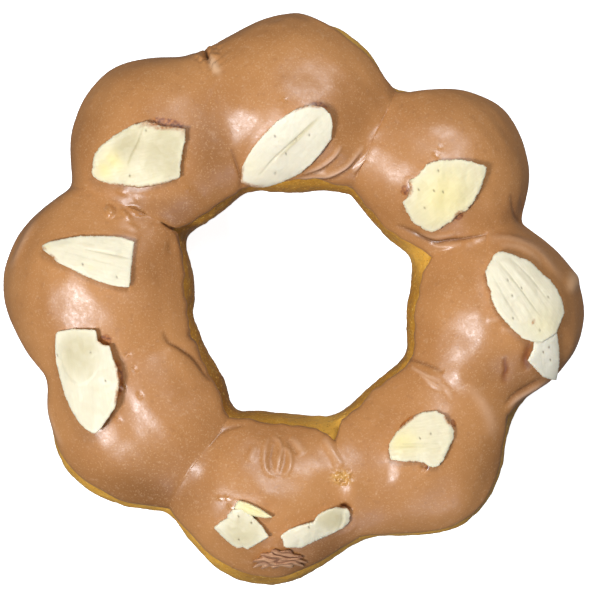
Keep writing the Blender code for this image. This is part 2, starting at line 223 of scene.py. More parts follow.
# Bumps and drops, and pits with a negative height: spot, height. The small drops look wet.
BUMPS = (
    ((11.4, 26.7), 1.8, 1.6, 0, 0.17), ((27.5, 9.4), 0.9, 0.8, 0, 0.17),
    ((7.6, -31), 1.9, 1.6, 0, 0.2), ((15.8, -28.9), 1.1, 2.0, 0, 0.1),
    ((45, 3.1), 1.0, 1.8, -15, 0.8), ((-16.3, -28.4), 1.6, 1.8, 0, 0.1),
    ((-12.9, -32.7), 0.4, 0.35, 0, 0.15), ((-11.9, -32.7), 0.4, 0.35, 0, 0.15),
    ((-11.2, -34.2), 0.35, 0.4, 0, 0.12), ((-2.6, 33), 0.45, 0.45, 0, 0.15),
    ((22.5, 23.9), 0.5, 0.6, 0, 0.17), ((23.1, 25.1), 0.3, 0.5, -30, 0.1),
    ((-10.7, -43.9), 0.3, 0.3, 0, 0.12), ((-28.7, 18.2), 0.8, 0.45, -25, 0.15),
    ((-26.4, 17.2), 0.6, 0.4, -30, 0.1), ((-29.2, 13.7), 0.35, 0.35, 0, 0.12),
    ((-28.8, 13), 0.45, 1.0, 45, 0.16), ((-28.1, 11.5), 1.1, 0.5, -30, 0.14),
    ((-18.8, 18.8), 0.5, 0.4, 0, 0.12), ((-19.3, 23.4), 0.3, 0.5, 0, 0.1),
    ((-28.5, -8.5), 0.35, 0.35, 0, -0.3), ((-27.1, -11.8), 0.35, 0.35, 0, -0.3),
    ((-26.3, -15.8), 0.35, 0.35, 0, -0.3), ((-29, -14.5), 0.4, 0.3, 0, -0.3),
    ((-30, -19.6), 0.35, 0.35, 0, -0.3), ((-15.2, 39.4), 0.5, 0.6, 0, -0.7),
    ((7.1, -33.9), 0.75, 0.5, 0, -0.9), ((-21.9, 8.4), 0.7, 1.1, 10, -0.35),
    ((20.5, -27.6), 0.45, 0.45, 0, -0.6),
)
SMALL_DROP = 0.55

# How wide and how strong the looks of the folds, creases, drops and lip are beside their shapes.
# The folds get a painted highlight, and the creases and the lip get painted shade.
CREST_WIDTH = 0.7
GROOVE_WIDTH = 0.8
GROOVE_DARKNESS = 1.6
DROP_SHINE = 1.4
WET_DROP, WET_BLISTER, WET_CREST = 0.8, 0.6, 0.4
LIP_DARKNESS = 0.9

# Brown skin that came off the almond slices and stuck to the icing: the line, half width.
STUCK_SKIN_HEIGHT = 0.04
STUCK_SKIN = (
    (((-32.8, -5.3), (-32.2, -6.2), (-31.4, -7.1)), 1.3),
    (((-30.4, -8.9), (-29.7, -10.9), (-29.4, -13.2), (-29.7, -15.5), (-30.1, -16.8)), 0.75),
    (((-24.9, 29.5), (-23.4, 29.3), (-21.4, 28.9), (-18.8, 28.3)), 0.95),
    (((1.5, 32.4), (3, 32.3), (4.5, 31.4)), 0.5),
    (((17.7, 19.1), (17.4, 18.2), (17.1, 17.2)), 0.75),
    (((25.6, 13.2), (26.3, 13.9), (26.9, 14.5)), 0.5),
    (((16.3, -21.4), (17.5, -20.2), (19, -19.1)), 0.35), (((24.8, -19.7), (25.5, -21.1)), 0.4),
    (((20.5, -27.6), (21.6, -27.7)), 0.3),
)

# Broad swells that tip the face: place, radius, rise for each millimetre across and along, and how
# far the middle is flattened.
SWELLS = (
    ((-37.1, 1.5), 3.4, 0.05, 0.12, 0.06), ((28.4, -3.6), 3.2, 0.06, 0.14, 0.0),
    ((-9.9, 30.2), 3.0, 0.14, 0.15, -0.05), ((11.4, 26.9), 3.0, 0.20, -0.30, 0.05),
    ((24.4, 26.7), 3.6, -0.01, 0.10, 0.05), ((0.3, 35), 5.6, -0.09, -0.24, 0.0),
    ((-25.4, -19.1), 4.2, 0.15, 0.01, 0.06), ((-16.3, -28.4), 2.3, -0.13, 0.19, 0.05),
    ((-5.3, -30.9), 2.6, -0.09, -0.15, -0.02), ((0.7, -28.7), 2.6, 0.06, 0.05, 0.0),
    ((24.9, -33.5), 3.8, 0.17, -0.11, 0.08), ((15.8, -28.9), 1.4, 0.18, -0.03, 0.0),
    ((7.4, -31), 2.1, 0.27, 0.0, 0.0), ((6.1, -26.9), 1.3, 0.08, -0.11, 0.0),
    ((25.6, -13.4), 3.2, 0.16, 0.13, 0.04), ((-19.8, 15.3), 3.0, 0.13, 0.17, 0.05),
    ((-28.9, 12.5), 1.3, -0.08, 0.12, 0.0),
)

# Round blisters: place, radius, height.
BLISTERS = (((-26.9, 14.5), 1.5, 0.6), ((-31.3, 13.8), 1.1, 0.55))
BLISTER_FLATNESS = 1.3
FOOT_DEPTH, FOOT_PLACE, FOOT_WIDTH = 0.12, 1.05, 0.35

# Where crumbly dough shows through, where a scrap of paler icing sticks on, and where the icing is
# torn; then the rough spots: spot, how sharply it ends, height, grain, seed.
BARE_SPOT = ((6.6, -29.4), 1.9, 1.1, 5)
PALE_SCRAPS = (((44.9, 3.1), 1.0, 1.9, -15), ((-13.6, 37.8), 0.8, 1.5, 30))
TORN_SPOT = ((-14.4, 39.3), 2.4, 2.2, 0)
ROUGH_SPOTS = ((*TORN_SPOT, 2, 0.35, 0.8, 5), (*BARE_SPOT, 4, 0.3, 0.6, 6))

# Painted shade on the icing's flanks and valleys, painted shade in the dough's darker spots, and
# painted light in its paler spots: spot, how much.
DEEP_TONES = (
    ((-14.5, 24.8), 4.5, 7.0, 10, 0.75), ((-24.8, -31.7), 9.0, 3.5, -8, 0.9),
    ((-15.7, -23.9), 4.0, 6.0, -20, 0.4), ((-24.8, 5.3), 4.0, 4.0, 0, 0.4),
    ((31, -11.9), 6.0, 3.0, 20, 0.35), ((30.9, -26.7), 3.5, 6.0, 0, 0.4),
    ((-24.8, -26.4), 5.0, 4.0, 0, 0.35), ((-34.3, 28.1), 3.0, 6.0, -20, 0.4),
    ((-20.1, 14), 4.0, 4.5, -30, 0.7), ((7.4, 31.4), 3.5, 5.0, -20, 0.3),
    ((-7.4, -43.7), 6.0, 2.0, 0, 0.35), ((36, -14.2), 5.0, 2.4, 28, 0.55),
    ((-27.2, 16.3), 5.0, 1.6, 0, 0.35), ((7.8, 23.1), 3.0, 3.0, 0, 0.35),
    ((4, -41.4), 6.0, 2.2, 38, 0.9), ((-0.7, -44.9), 4.0, 1.4, 10, 0.5),
    ((-26.8, 14.5), 1.9, 1.9, 0, 0.45), ((33, -26.4), 2.5, 7.0, 0, 0.3),
)
BROWNED_DOUGH = (
    ((-9.1, 18.6), 7.0, 2.5, 0, 0.25), ((-12.9, -17.3), 3.0, 6.0, 20, 0.6),
    ((-15.7, -14), 3.0, 4.0, 30, 0.4), ((-6.3, -45.7), 7.0, 2.5, 0, 0.6),
    ((34.6, -16.8), 4.0, 3.0, 35, 0.6), ((33, -24.8), 2.5, 6.0, 0, 0.4),
    ((-20.1, 11.2), 3.0, 4.0, 20, 0.4), ((-18.2, 0), 2.0, 8.0, 0, 0.3),
)
PALE_DOUGH = (
    ((4.6, -21.1), 3.2, 3.7, 0, 0.65), ((18.5, 7.4), 3.5, 3.0, -30, 0.5),
    ((7.4, 43.7), 3.0, 3.0, 0, 0.6), ((0, -19.5), 7.0, 1.5, 0, 0.3),
)

# Icing drawn up round the almond slices.
COLLAR_HEIGHT = 0.1
COLLAR_WIDTH = 0.7

# The almond slices: outline, how pale they are all over, the heading of the grain, how far they
# follow the ball under them, how ragged their edge is, and what shows on them.
SLICE_THICKNESS = 1.2
SLICE_THINNER_RIM = 0.22
SLICE_SUNK = 0.1
SLICE_WAVE, SLICE_WAVE_LENGTH = 0.07, 4.0
SLICE_GRAIN, SLICE_GRAIN_LENGTH = 0.03, 0.9
TYPICAL_TOP = 26.0
STEEPEST_LEAN = 0.75
SLOPE_STEP = 0.5
SLICE_EDGE_WIDTH = 0.5
SLICE_LINE_DARKNESS = 5.0
FLECK_PIT = (0.14, 0.2, 20, -0.12)
FLECK_STAIN = (0.12, 0.22, 20, 1.0)
# A slab's wall and top: share of the radius, how far in from the rim, and level.
SLAB_WALL = (
    (1.0, 0.1, 0.0), (1.0, 0.02, 0.12), (1.0, 0.0, 0.4),
    (1.0, 0.0, 0.7), (1.0, 0.05, 0.9), (1.0, 0.14, 0.98),
)
SLAB_TOP_INSET = 0.34
SLAB_TOP_CROWDING = 1.1
CRACK = ((-25.7, 28.9), (-26.7, 26.1), (-27.9, 23.8), (-28.5, 22.1))
PLAIN_SLICE = dict(
    pale=0.0, follow=0.6, folds=(), creases=(), ledges=(),
    flecks=(), skin_rims=(), skin_spots=(), yellow=(), grey=(),
)
SLICES = {
    "almond_slice_upper_left": dict(
        outline=(
            (-34.6, 21.1), (-34.1, 24), (-33.3, 25.2), (-30.8, 27.1), (-27.8, 28.8), (-25.3, 29.5),
            (-23.8, 29.1), (-23, 28.7), (-21.1, 28.5), (-18.8, 28.2), (-18.9, 26.3), (-19.3, 24.4),
            (-19.6, 22.7), (-19.8, 20.2), (-21.5, 19.5), (-23.2, 19), (-26.1, 18.5), (-28.2, 18.7),
            (-31.2, 19.2), (-32.7, 19.5), (-34.1, 20.3),
        ),
        heading=12, ragged=0.07,
        folds=(
            (((-34.3, 21.8), (-33.3, 24.6), (-30.5, 26.7), (-26.4, 28.9)), 0.5, 0.12),
            (((-33.7, 20.5), (-29.7, 19.6), (-26.1, 19.1), (-21.4, 20.1)), 0.6, 0.12),
        ),
        creases=((CRACK, 0.2, 0.1),),
        ledges=((CRACK, 0.16, 0.15, 2.5),),
        flecks=((-25.3, 27.9), (-28.1, 20.5)), skin_rims=((24, 86, 0.9), (225, 322, 0.3)),
        yellow=(((-32.3, 21.4), 1.5, 1.7, 0), ((-30.7, 23.1), 1.6, 2.0, 20)),
        grey=(((-28.4, 25.6), 2.7, 2.9, 30), ((-22.4, 24.1), 3.2, 3.8, -12)),
    ),
    "almond_slice_left": dict(
        outline=(
            (-42.9, 9), (-42.1, 9.5), (-39.4, 10.1), (-36.5, 10.6), (-31.6, 10.6), (-29.5, 10.4),
            (-27.4, 9.7), (-27.7, 6.8), (-28.1, 2), (-30.6, 2.3), (-33.1, 3), (-35.8, 4.1),
            (-37.7, 5.1), (-40.3, 6.3), (-41.1, 7.2), (-42.6, 8.3),
        ),
        pale=0.5, heading=-12, ragged=0.05,
        folds=((((-39.6, 9.4), (-34.6, 8.7), (-27.9, 7.6)), 0.35, 0.06),),
        creases=(
            (((-35.6, 8.4), (-31.7, 7.6), (-27.7, 6.7)), 0.16, 0.2),
            (((-39.6, 8.2), (-34.6, 6.8), (-28.9, 5.3)), 0.2, 0.05),
        ),
        flecks=((-35.8, 5.9), (-30.2, 3.8)),
        skin_spots=(((-40.9, 7), 0.9, 0.45, -40), ((-42.4, 8.6), 0.5, 0.25, -30)),
        yellow=(((-34.5, 5.3), 0.5, 0.5, 0), ((-42.1, 8.9), 1.0, 0.8, 0)),
    ),
    "almond_slice_lower_left": dict(
        outline=(
            (-40.1, -5.2), (-36.9, -4.7), (-33.3, -4.9), (-33.2, -6.6), (-32.3, -7.3),
            (-31.1, -7.5), (-30.7, -9.4), (-29.8, -11.3), (-29.5, -13.4), (-29.8, -15.9),
            (-30.2, -17.6), (-31.5, -19.5), (-32.8, -21.4), (-33.7, -21.9), (-34.9, -21.4),
            (-36.1, -20.3), (-37.4, -18.4), (-38.7, -15.7), (-39.5, -13), (-40.2, -10),
            (-40.3, -7.9),
        ),
        pale=0.5, heading=-82, ragged=0.04,
        folds=((((-30, -12.9), (-31, -17.5), (-33.3, -21.1)), 0.5, 0.1),),
        ledges=(
            (((-33.3, -5.9), (-32.7, -8.9), (-33.7, -12.2), (-36, -13.9), (-38.3, -12.2),
                (-39.3, -9.2), (-39.4, -5.9)), -0.14, 0.2, 4.0),
        ),
        flecks=((-34.3, -8.6), (-39.9, -9.1), (-31.8, -13.2)),
        skin_rims=((322, 350, 0.5), (352, 392, 0.35)),
        skin_spots=(((-32.1, -6.3), 0.95, 1.25, 35),), grey=(((-36.1, -8.6), 3.1, 4.3, 0),),
    ),
    "almond_slice_top": dict(
        outline=(
            (-9.9, 19.6), (-9.6, 22.1), (-8.1, 24.7), (-6.4, 26.8), (-3.9, 29.3), (-0.9, 31.2),
            (1.6, 32.1), (3.7, 31.7), (5, 30.6), (5.4, 28.9), (5.2, 26.6), (3.7, 24.5), (2, 22.6),
            (-0.1, 20.9), (-3, 19.6), (-5.1, 18.9), (-7.3, 18.7), (-8.7, 19),
        ),
        pale=0.75, heading=44, ragged=0.04,
        folds=((((4, 30.2), (0, 26.6), (-4, 23.1)), 0.5, 0.08),),
        creases=((((3, 29.9), (-0.7, 26.6), (-4.3, 23.4), (-6.9, 20.5)), 0.2, 0.2),),
        flecks=((-4.1, 26.9), (-2.3, 24.1), (-0.7, 26.4), (-4.1, 21), (1.5, 27.1)),
        skin_rims=((46, 76, 0.5), (205, 238, 0.45)), yellow=(((-8.2, 22.3), 1.5, 2.2, 44),),
        grey=(((0, 26.9), 0.35, 4.5, -46),),
    ),
    "almond_slice_upper_right": dict(
        outline=(
            (17.9, 19.6), (19.6, 20.7), (20.8, 22.3), (22.5, 23), (24.2, 23.1), (26.7, 23.2),
            (28.4, 22.8), (30.9, 22.1), (30.5, 20.1), (29.9, 18.4), (28.8, 16.3), (27.6, 14.8),
            (26.1, 14.1), (25.2, 13.1), (23.3, 11.9), (22.1, 11.2), (20.8, 11.6), (18.7, 12.9),
            (17.8, 14.4), (16.9, 16.3), (17.9, 17), (18.1, 18.4),
        ),
        pale=0.1, heading=40, ragged=0.08,
        folds=((((30.4, 20.5), (28.7, 16.8), (26.4, 14.9)), 0.5, 0.12),),
        ledges=((((27.7, 22.6), (27.6, 20.1), (26.7, 17.8)), 0.1, 0.2, 2.0),),
        flecks=((22.1, 18), (23.6, 17.8), (19.6, 18.2), (20.6, 15.2), (22.8, 21.3)),
        skin_rims=((156, 182, 0.6), (296, 322, 0.5)),
        skin_spots=(((17.6, 18.2), 0.7, 1.3, -10), ((26.1, 13.7), 0.9, 0.55, 45)),
        yellow=(((23.8, 17), 5.0, 5.0, 0),),
    ),
    "almond_slice_right": dict(
        outline=(
            (33.1, 8.1), (34.8, 7.8), (36.5, 7), (37.6, 6.8), (38.9, 5.8), (40.1, 4.5), (41.6, 3.3),
            (42.7, 1.8), (43.5, 0.1), (44, -1.9), (43.1, -4.2), (42.3, -5.7), (40.3, -6.9),
            (38.7, -7), (36.7, -6.3), (34.8, -4.6), (32.9, -2.5), (31.9, -0.8), (31.4, 0.9),
            (31.5, 1.5), (31, 2.4), (30.6, 4.7), (31.4, 6.2), (32.1, 7.5),
        ),
        pale=0.55, heading=-55, ragged=0.06,
        folds=(
            (((33.8, 6.8), (37.1, 3.1), (40.9, -2)), 0.4, 0.1),
            (((32.5, 5.3), (35.1, 1.2), (38, -3)), 0.4, 0.08),
        ),
        creases=(
            (((34.6, 7.1), (38, 3.8), (41.4, -0.5)), 0.18, 0.1),
            (((32.8, 6.4), (35.8, 2.6), (39.6, -2.5)), 0.2, 0.12),
            (((31.7, 4.1), (34, 0), (36.3, -3.6)), 0.18, 0.1),
        ),
        flecks=((34.3, 3.3), (35, 0.7), (36.6, 2), (41.1, 0.5), (39.6, -5), (35.1, -3)),
        skin_spots=(((38.5, -3.6), 0.25, 0.5, -30),), yellow=(((40.4, -4.1), 3.0, 3.0, 0),),
    ),
    "almond_slice_under_right": dict(
        outline=(
            (38.4, -6.3), (38.4, -8), (37.5, -10), (38.9, -11.4), (40.4, -12.8), (42.8, -13.5),
            (43.1, -10.5), (42.9, -8), (42.4, -5.4),
        ),
        pale=1.0, heading=-80, follow=0.45, ragged=0.05,
        creases=((((40.1, -6.9), (39.8, -9.2), (40.4, -12.2)), 0.15, 0.02),),
        flecks=((41.1, -7.8), (40.1, -8.6), (41.4, -9.9)),
    ),
    "almond_slice_lower_right": dict(
        outline=(
            (20.1, -18.6), (22.4, -18.3), (23.9, -19), (24.9, -20.5), (25.5, -21.7), (25.4, -22.8),
            (24.5, -24.7), (23.7, -26.4), (22.8, -27.5), (21.4, -27.6), (20.4, -26.8),
            (18.4, -26.8), (15, -26.4), (14.6, -24.7), (14.9, -23.4), (16.1, -21.7), (17.6, -20.2),
            (18.8, -19.2),
        ),
        pale=0.1, heading=8, ragged=0.06,
        folds=(
            (((15, -24.8), (18.5, -24.4), (23.1, -24.3)), 0.4, 0.12),
            (((24.8, -21.1), (24.3, -24.1), (22.6, -26.9)), 0.4, 0.1),
        ),
        creases=((((16.3, -23.8), (19.8, -23.6), (23.3, -23.6)), 0.18, 0.06),),
        ledges=((((23.8, -24.2), (19.5, -24.3), (15.5, -24.3)), 0.12, 0.15, 2.2),),
        flecks=((21.6, -22.1), (19.8, -22.8)),
        skin_rims=((95, 155, 0.35), (24, 46, 0.5), (236, 262, 0.3)),
        skin_spots=(((25, -20), 0.3, 0.6, 30),), yellow=(((16.8, -23.3), 2.5, 2.0, 0),),
    ),
    "almond_slice_bottom_chip": dict(
        outline=(
            (-14.3, -37.7), (-13.2, -36.7), (-11.9, -35.9), (-12.1, -35.6), (-11, -34.5),
            (-9.4, -34.4), (-7.8, -35.7), (-6.2, -37.3), (-5.1, -39.1), (-7.4, -40.5),
            (-8.7, -41.3), (-9.4, -40.9), (-10.4, -41.1), (-11.4, -40.5), (-13, -39.1),
        ),
        pale=0.45, heading=-45, ragged=0.04, flecks=((-10.1, -35.7), (-8, -36.7), (-10.1, -39.6)),
        grey=(((-9.4, -38), 3.0, 3.0, 0),),
    ),
    "almond_slice_bottom_sliver": dict(
        outline=(
            (-10.9, -34.4), (-10.5, -33.4), (-10, -33.1), (-8.6, -33.5), (-6.8, -34.3),
            (-5.6, -35.1), (-4.4, -35.9), (-5.8, -36), (-7.8, -35.7), (-9.6, -35.1),
        ),
        heading=-27, ragged=0.05,
        creases=((((-9.9, -33.7), (-7.9, -34.5), (-5.6, -35.6)), 0.15, 0.06),),
        yellow=(((-7.9, -34.5), 4.0, 4.0, 0),),
    ),
    "almond_slice_bottom_strip": dict(
        outline=(
            (-3.2, -38.7), (-1.8, -37.7), (0.2, -37), (2.2, -36.5), (3, -35.3), (4.6, -34.5),
            (6, -34.2), (8, -34.5), (8.3, -35.6), (8.2, -36.7), (7.2, -37.7), (4.8, -38.9),
            (2.3, -39.9), (0.2, -40.9), (-2.6, -40.7), (-2.8, -39.7),
        ),
        pale=0.5, heading=22, ragged=0.07,
        folds=((((7.4, -35), (7.6, -36.3), (6.8, -37.8)), 0.25, 0.12),),
        creases=((((6.8, -34.6), (6.9, -36.3), (6.3, -38)), 0.2, 0.1),), flecks=((1.5, -37.4),),
        grey=(((5.3, -36.1), 2.4, 2.0, 0),),
    ),
}

# The torn piece of brown almond skin.
SKIN_X, SKIN_Y = -2.1, -42.7
SKIN_HEADING = 2
SKIN_HALF_LENGTH = 4.5
SKIN_HALF_WIDTH = 1.7
SKIN_ARCH = 1.0
SKIN_FOLLOW = 0.85
SKIN_THICKNESS = 0.49
SKIN_NOTCHES = 11
SKIN_NOTCH_DEPTH = 0.12
SKIN_FOLD_WAVE = 0.78
SKIN_FINE_WAVE = 0.37 * SKIN_FOLD_WAVE
SKIN_FOLD_HEIGHT = 0.45


# Shapes


def fade(distance, power=2):
    """1 at no distance, and falling off to 0."""
    return np.exp(-(distance**power))


def angle_apart(angle, other):
    """The angle between two directions in degrees, between -180 and 180."""
    return (angle - other + 180.0) % 360.0 - 180.0


def ring_angle(points):
    """Each point's direction round the ring, in degrees."""
    return np.degrees(np.arctan2(points[:, 1] - HOLE_Y, points[:, 0] - HOLE_X))


def weld_shaping(points):
    """How far the surface moves out, in millimetres, by the shaping of the welds."""
    angle = ring_angle(points)
    outward = np.hypot(points[:, 0] - HOLE_X, points[:, 1] - HOLE_Y) - CORE_RADIUS
    facing = np.cos(np.arctan2(points[:, 2] - CORE_HEIGHT, outward))
    outside = np.clip(facing, 0.0, 1.0) ** 2
    inside = np.clip(-facing, 0.0, 1.0) ** 2
    moved = np.zeros(len(points))
    for weld_angle, hole_wider, outside_fuller in WELDS:
        near = fade(angle_apart(angle, weld_angle) / WELD_HALF_ANGLE)
        moved += near * (outside_fuller * outside - hole_wider * inside)
    return moved


def ball_distance(points, centre, radius, drawn):
    """The distance of each point from one ball, which is drawn out towards the hole."""
    inward = np.array((HOLE_X - centre[0], HOLE_Y - centre[1], 0.0))
    inward /= np.linalg.norm(inward)
    offset = points - np.array(centre)
    offset[:, 2] /= BALL_FLATTENING
    pulled = np.clip(offset @ inward, 0.0, drawn)
    return np.linalg.norm(offset - pulled[:, None] * inward, axis=1) - radius


def ball_gaps(points):
    """The distance of each point from every ball."""
    gaps = []
    for x, y, radius, drawn in BALLS.values():
        height = BALL_FLATTENING * radius - FLAT_SPOT_SINK
        gaps.append(ball_distance(points, (x, y, height), radius, drawn))
    return gaps


def dough_distance(points):
    """The distance of each point from the dough's surface, roughly, and negative inside it."""
    gaps = ball_gaps(points)
    for x, y, radius in NECKS:
        gaps.append(ball_distance(points, (x, y, NECK_HEIGHT), radius, 0.0))
    total = np.exp(-np.array(gaps) / WELD_SOFTNESS).sum(axis=0)
    return -WELD_SOFTNESS * np.log(total) - weld_shaping(points)


def points_from_core(ring_angles, section_angles, distance):
    """Points at this distance from the core line; section angle 0 is outward and 90 is up."""
    ring = np.radians(ring_angles)
    section = np.radians(section_angles)
    radius = CORE_RADIUS + distance * np.cos(section)
    x = HOLE_X + radius * np.cos(ring)
    y = HOLE_Y + radius * np.sin(ring)
    return np.stack((x, y, CORE_HEIGHT + distance * np.sin(section)), axis=1)


def halved(within, low, high):
    """Close in on where a shape ends, between a bound within it and one beyond it."""
    for _ in range(HALVINGS):
        middle = (low + high) / 2
        inside = within(middle)
        low = np.where(inside, middle, low)
        high = np.where(inside, high, middle)
    return low


def surface_points(ring_angles, section_angles):
    """Points on the dough's surface, along each ray from the core."""

    def within(distance):
        return dough_distance(points_from_core(ring_angles, section_angles, distance)) < 0.0

    core = np.zeros(len(ring_angles))
    reach = halved(within, core, core + FARTHEST_REACH)
    return points_from_core(ring_angles, section_angles, reach)


def outward_normals(points, step=0.05):
    """The direction straight out of the dough at each point."""
    slopes = []
    for axis in np.eye(3):
        slopes.append(dough_distance(points + step * axis) - dough_distance(points - step * axis))
    normals = np.stack(slopes, axis=1)
    return normals / np.linalg.norm(normals, axis=1, keepdims=True)


def wander(ring, waves):
    """How far an edge strays, in degrees, by waves round the ring: share, count and start."""
    total = sum(share * np.sin(count * ring + start) for share, count, start in waves)
    return EDGE_WANDER * total / 2


def icing_edges(ring_angles):
    """The section angles where the icing stops, on the outside and on the hole's side."""
    angles, hole_marks, outside_marks = zip(*sorted(ICING_EDGE))
    hole_side = np.interp(ring_angles, angles, hole_marks, period=360)
    outside = np.interp(ring_angles, angles, outside_marks, period=360)
    ring = np.radians(ring_angles)
    outside = outside + wander(ring, OUTSIDE_WAVES)
    return outside, 180.0 - hole_side - wander(ring, HOLE_WAVES)


def seen_from_above(points):
    """Where each point is seen from the eye: a row of places across and a row along."""
    widening = (EYE_HEIGHT - CORE_HEIGHT) / (EYE_HEIGHT - points[:, 2])
    return np.stack(((points[:, 0] - EYE_X) * widening, (points[:, 1] - EYE_Y) * widening))


def under_view(across, along, height):
    """The place in plan at this height that is seen from the eye at this place."""
    narrowing = (EYE_HEIGHT - height) / (EYE_HEIGHT - CORE_HEIGHT)
    return EYE_X + across * narrowing, EYE_Y + along * narrowing


def smooth_line(marks, cuts=6):
    """A line through the marks with no corners."""
    marks = np.array(marks, float)
    if len(marks) < 3:
        return marks
    padded = np.vstack((2 * marks[0] - marks[1], marks, 2 * marks[-1] - marks[-2]))
    line = []
    for before, start, end, after in zip(padded, padded[1:], padded[2:], padded[3:]):
        for share in np.arange(cuts) / cuts:
            bend = 2 * start + (end - before) * share
            bend += (2 * before - 5 * start + 4 * end - after) * share**2
            bend += (3 * start - before - 3 * end + after) * share**3
            line.append(bend / 2)
    line.append(marks[-1])
    return np.array(line)


def along_line(view, marks, reach, height, profile):
    """A shape along a line that falls off at its ends, from a profile of the distance from the
    line and the side of it, 1 on its left and -1 on its right, within its reach."""
    low = np.min(marks, axis=0) - reach
    high = np.max(marks, axis=0) + reach
    near = np.flatnonzero(np.all((view.T > low) & (view.T < high), axis=1))
    line = smooth_line(marks)
    spans = np.diff(line, axis=0)
    lengths = np.hypot(spans[:, 0], spans[:, 1])
    gap = np.full(len(near), np.inf)
    side = np.ones(len(near))
    share = np.zeros(len(near))
    walked = 0.0
    for start, span, length in zip(line, spans, lengths):
        off_x, off_y = view[:, near] - start[:, None]
        way = np.clip((off_x * span[0] + off_y * span[1]) / length**2, 0.0, 1.0)
        distance = np.hypot(off_x - way * span[0], off_y - way * span[1])
        closer = distance < gap
        gap = np.where(closer, distance, gap)
        side = np.where(closer, np.sign(span[0] * off_y - span[1] * off_x), side)
        share = np.where(closer, (walked + way * length) / lengths.sum(), share)
        walked += length
    rise = np.zeros(view.shape[1])
    ends = np.sqrt(np.clip(np.sin(math.pi * share), 0.0, 1.0))
    rise[near] = height * ends * profile(gap, side)
    return rise


def fold(view, marks, half_width, height):
    """The height of a soft rounded fold along a line."""
    return along_line(view, marks, 4 * half_width, height, lambda gap, _: fade(gap / half_width))


def crease(view, marks, half_width, depth):
    """The depth of a groove along a line, sharp at its bottom."""
    return along_line(view, marks, 5 * half_width, -depth, lambda gap, _: fade(gap / half_width, 1))


def ledge(view, marks, height, half_width, reach):
    """A step up to the left of a line, which sinks back over its reach."""

    def step(gap, side):
        return (np.tanh(side * gap / half_width) + 1) / 2 * fade(gap / reach)

    return along_line(view, marks, 3 * reach, height, step)


def measured_along(x, y, turn):
    """Places as measured along and across a direction."""
    cosine, sine = math.cos(math.radians(turn)), math.sin(math.radians(turn))
    return x * cosine + y * sine, y * cosine - x * sine


def in_spot(view, place, radius_across, radius_along, turn):
    """How far out of an oval spot each place is, 1 at its rim."""
    x, y = measured_along(view[0] - place[0], view[1] - place[1], turn)
    return np.hypot(x / radius_across, y / radius_along)


def bump(view, place, radius_across, radius_along, turn, height):
    """The height of a round bump, or the depth of a pit."""
    return height * fade(in_spot(view, place, radius_across, radius_along, turn))


def swell(view, place, radius, lean_across, lean_along, hollow):
    """A broad low swell that tips the face one way and flattens it."""
    off_x, off_y = view[0] - place[0], view[1] - place[1]
    near = np.exp(-(off_x**2 + off_y**2) / radius**2)
    return near * (lean_across * off_x + lean_along * off_y - hollow)


def blister(view, place, radius, height):
    """A round blister with a soft foot."""
    spot = in_spot(view, place, radius, radius, 0)
    dome = np.clip(1.0 - spot**2, 0.0, 1.0) ** BLISTER_FLATNESS
    return height * (dome - FOOT_DEPTH * fade((spot - FOOT_PLACE) / FOOT_WIDTH))


def added_up(shape, view, entries):
    """What all the entries of a table come to together."""
    return sum((shape(view, *entry) for entry in entries), np.zeros(view.shape[1]))


def strongest(shape, view, entries):
    """The most that any entry of a table gives each place."""
    return np.max([np.zeros(view.shape[1])] + [shape(view, *entry) for entry in entries], axis=0)


def dark_lines(creases, darkness):
    """The creases as lines of painted shade, darker where they are deeper."""
    return [
        (line, GROOVE_WIDTH * width, min(1.0, darkness * depth)) for line, width, depth in creases
    ]


def firm_spot(view, *spot):
    """A spot that is even inside and ends sharply."""
    return fade(in_spot(view, *spot), 4)


def uneven(points, wave, seed, waves=9):
    """A smooth unevenness of about 1 either way, from waves that run in all directions."""
    chance = np.random.default_rng(seed)
    total = np.zeros(len(points))
    for _ in range(waves):
        direction = chance.normal(size=3)
        direction *= 2 * math.pi / (wave * chance.uniform(0.7, 1.5) * np.linalg.norm(direction))
        total += np.sin(points @ direction + chance.uniform(0, 2 * math.pi))
    return total * math.sqrt(2 / waves)


def grainy(points, size, seed):
    """Random roughness of about 1 either way, with grains of this size."""
    shift = Vector((seed * 17.3, seed * 5.1, seed * 9.7))
    return np.array([noise.noise(Vector(point) / size + shift) for point in points]) * 2.0


def rim_radius(outline, ragged, seed):
    """An outline's middle, and its ragged radius from there in each of RIM_STEPS directions."""
    marks = np.array(outline, float)
    middle = (marks.min(axis=0) + marks.max(axis=0)) / 2
    corners = marks - middle
    angles = np.radians(np.arange(RIM_STEPS) * 360.0 / RIM_STEPS)
    out_x, out_y = np.cos(angles), np.sin(angles)
    radius = np.zeros(RIM_STEPS)
    for start, span in zip(corners, np.roll(corners, -1, axis=0) - corners):
        facing = out_x * span[1] - out_y * span[0]
        facing = np.where(np.abs(facing) < 1e-9, 1e-9, facing)
        reach = (start[0] * span[1] - start[1] * span[0]) / facing
        share = (start[0] * out_y - start[1] * out_x) / facing
        hit = (share >= -1e-6) & (share <= 1 + 1e-6) & (reach > radius)
        radius = np.where(hit, reach, radius)
    kernel = fade(np.arange(-RIM_REACH, RIM_REACH + 1) / RIM_SMOOTHING)
    radius = np.concatenate((radius[-RIM_REACH:], radius, radius[:RIM_REACH]))
    radius = np.convolve(radius, kernel / kernel.sum(), "valid")
    chance = np.random.default_rng(seed)
    for count in RIM_WAVES:
        radius += ragged * 0.5 * np.sin(count * angles + chance.uniform(0, 2 * math.pi))
    return middle, radius


def radius_at(radius, angles):
    """The outline's radius in any direction."""
    marks = np.arange(RIM_STEPS) * 360.0 / RIM_STEPS
    return np.interp(np.degrees(angles) % 360, marks, radius, period=360)


def filled_in(shown, seed):
    """What a slice shows, with its middle, its rim and its own seed."""
    middle, radius = rim_radius(shown["outline"], shown["ragged"], seed)
    return {**PLAIN_SLICE, **shown, "middle": middle, "radius": radius, "seed": seed}


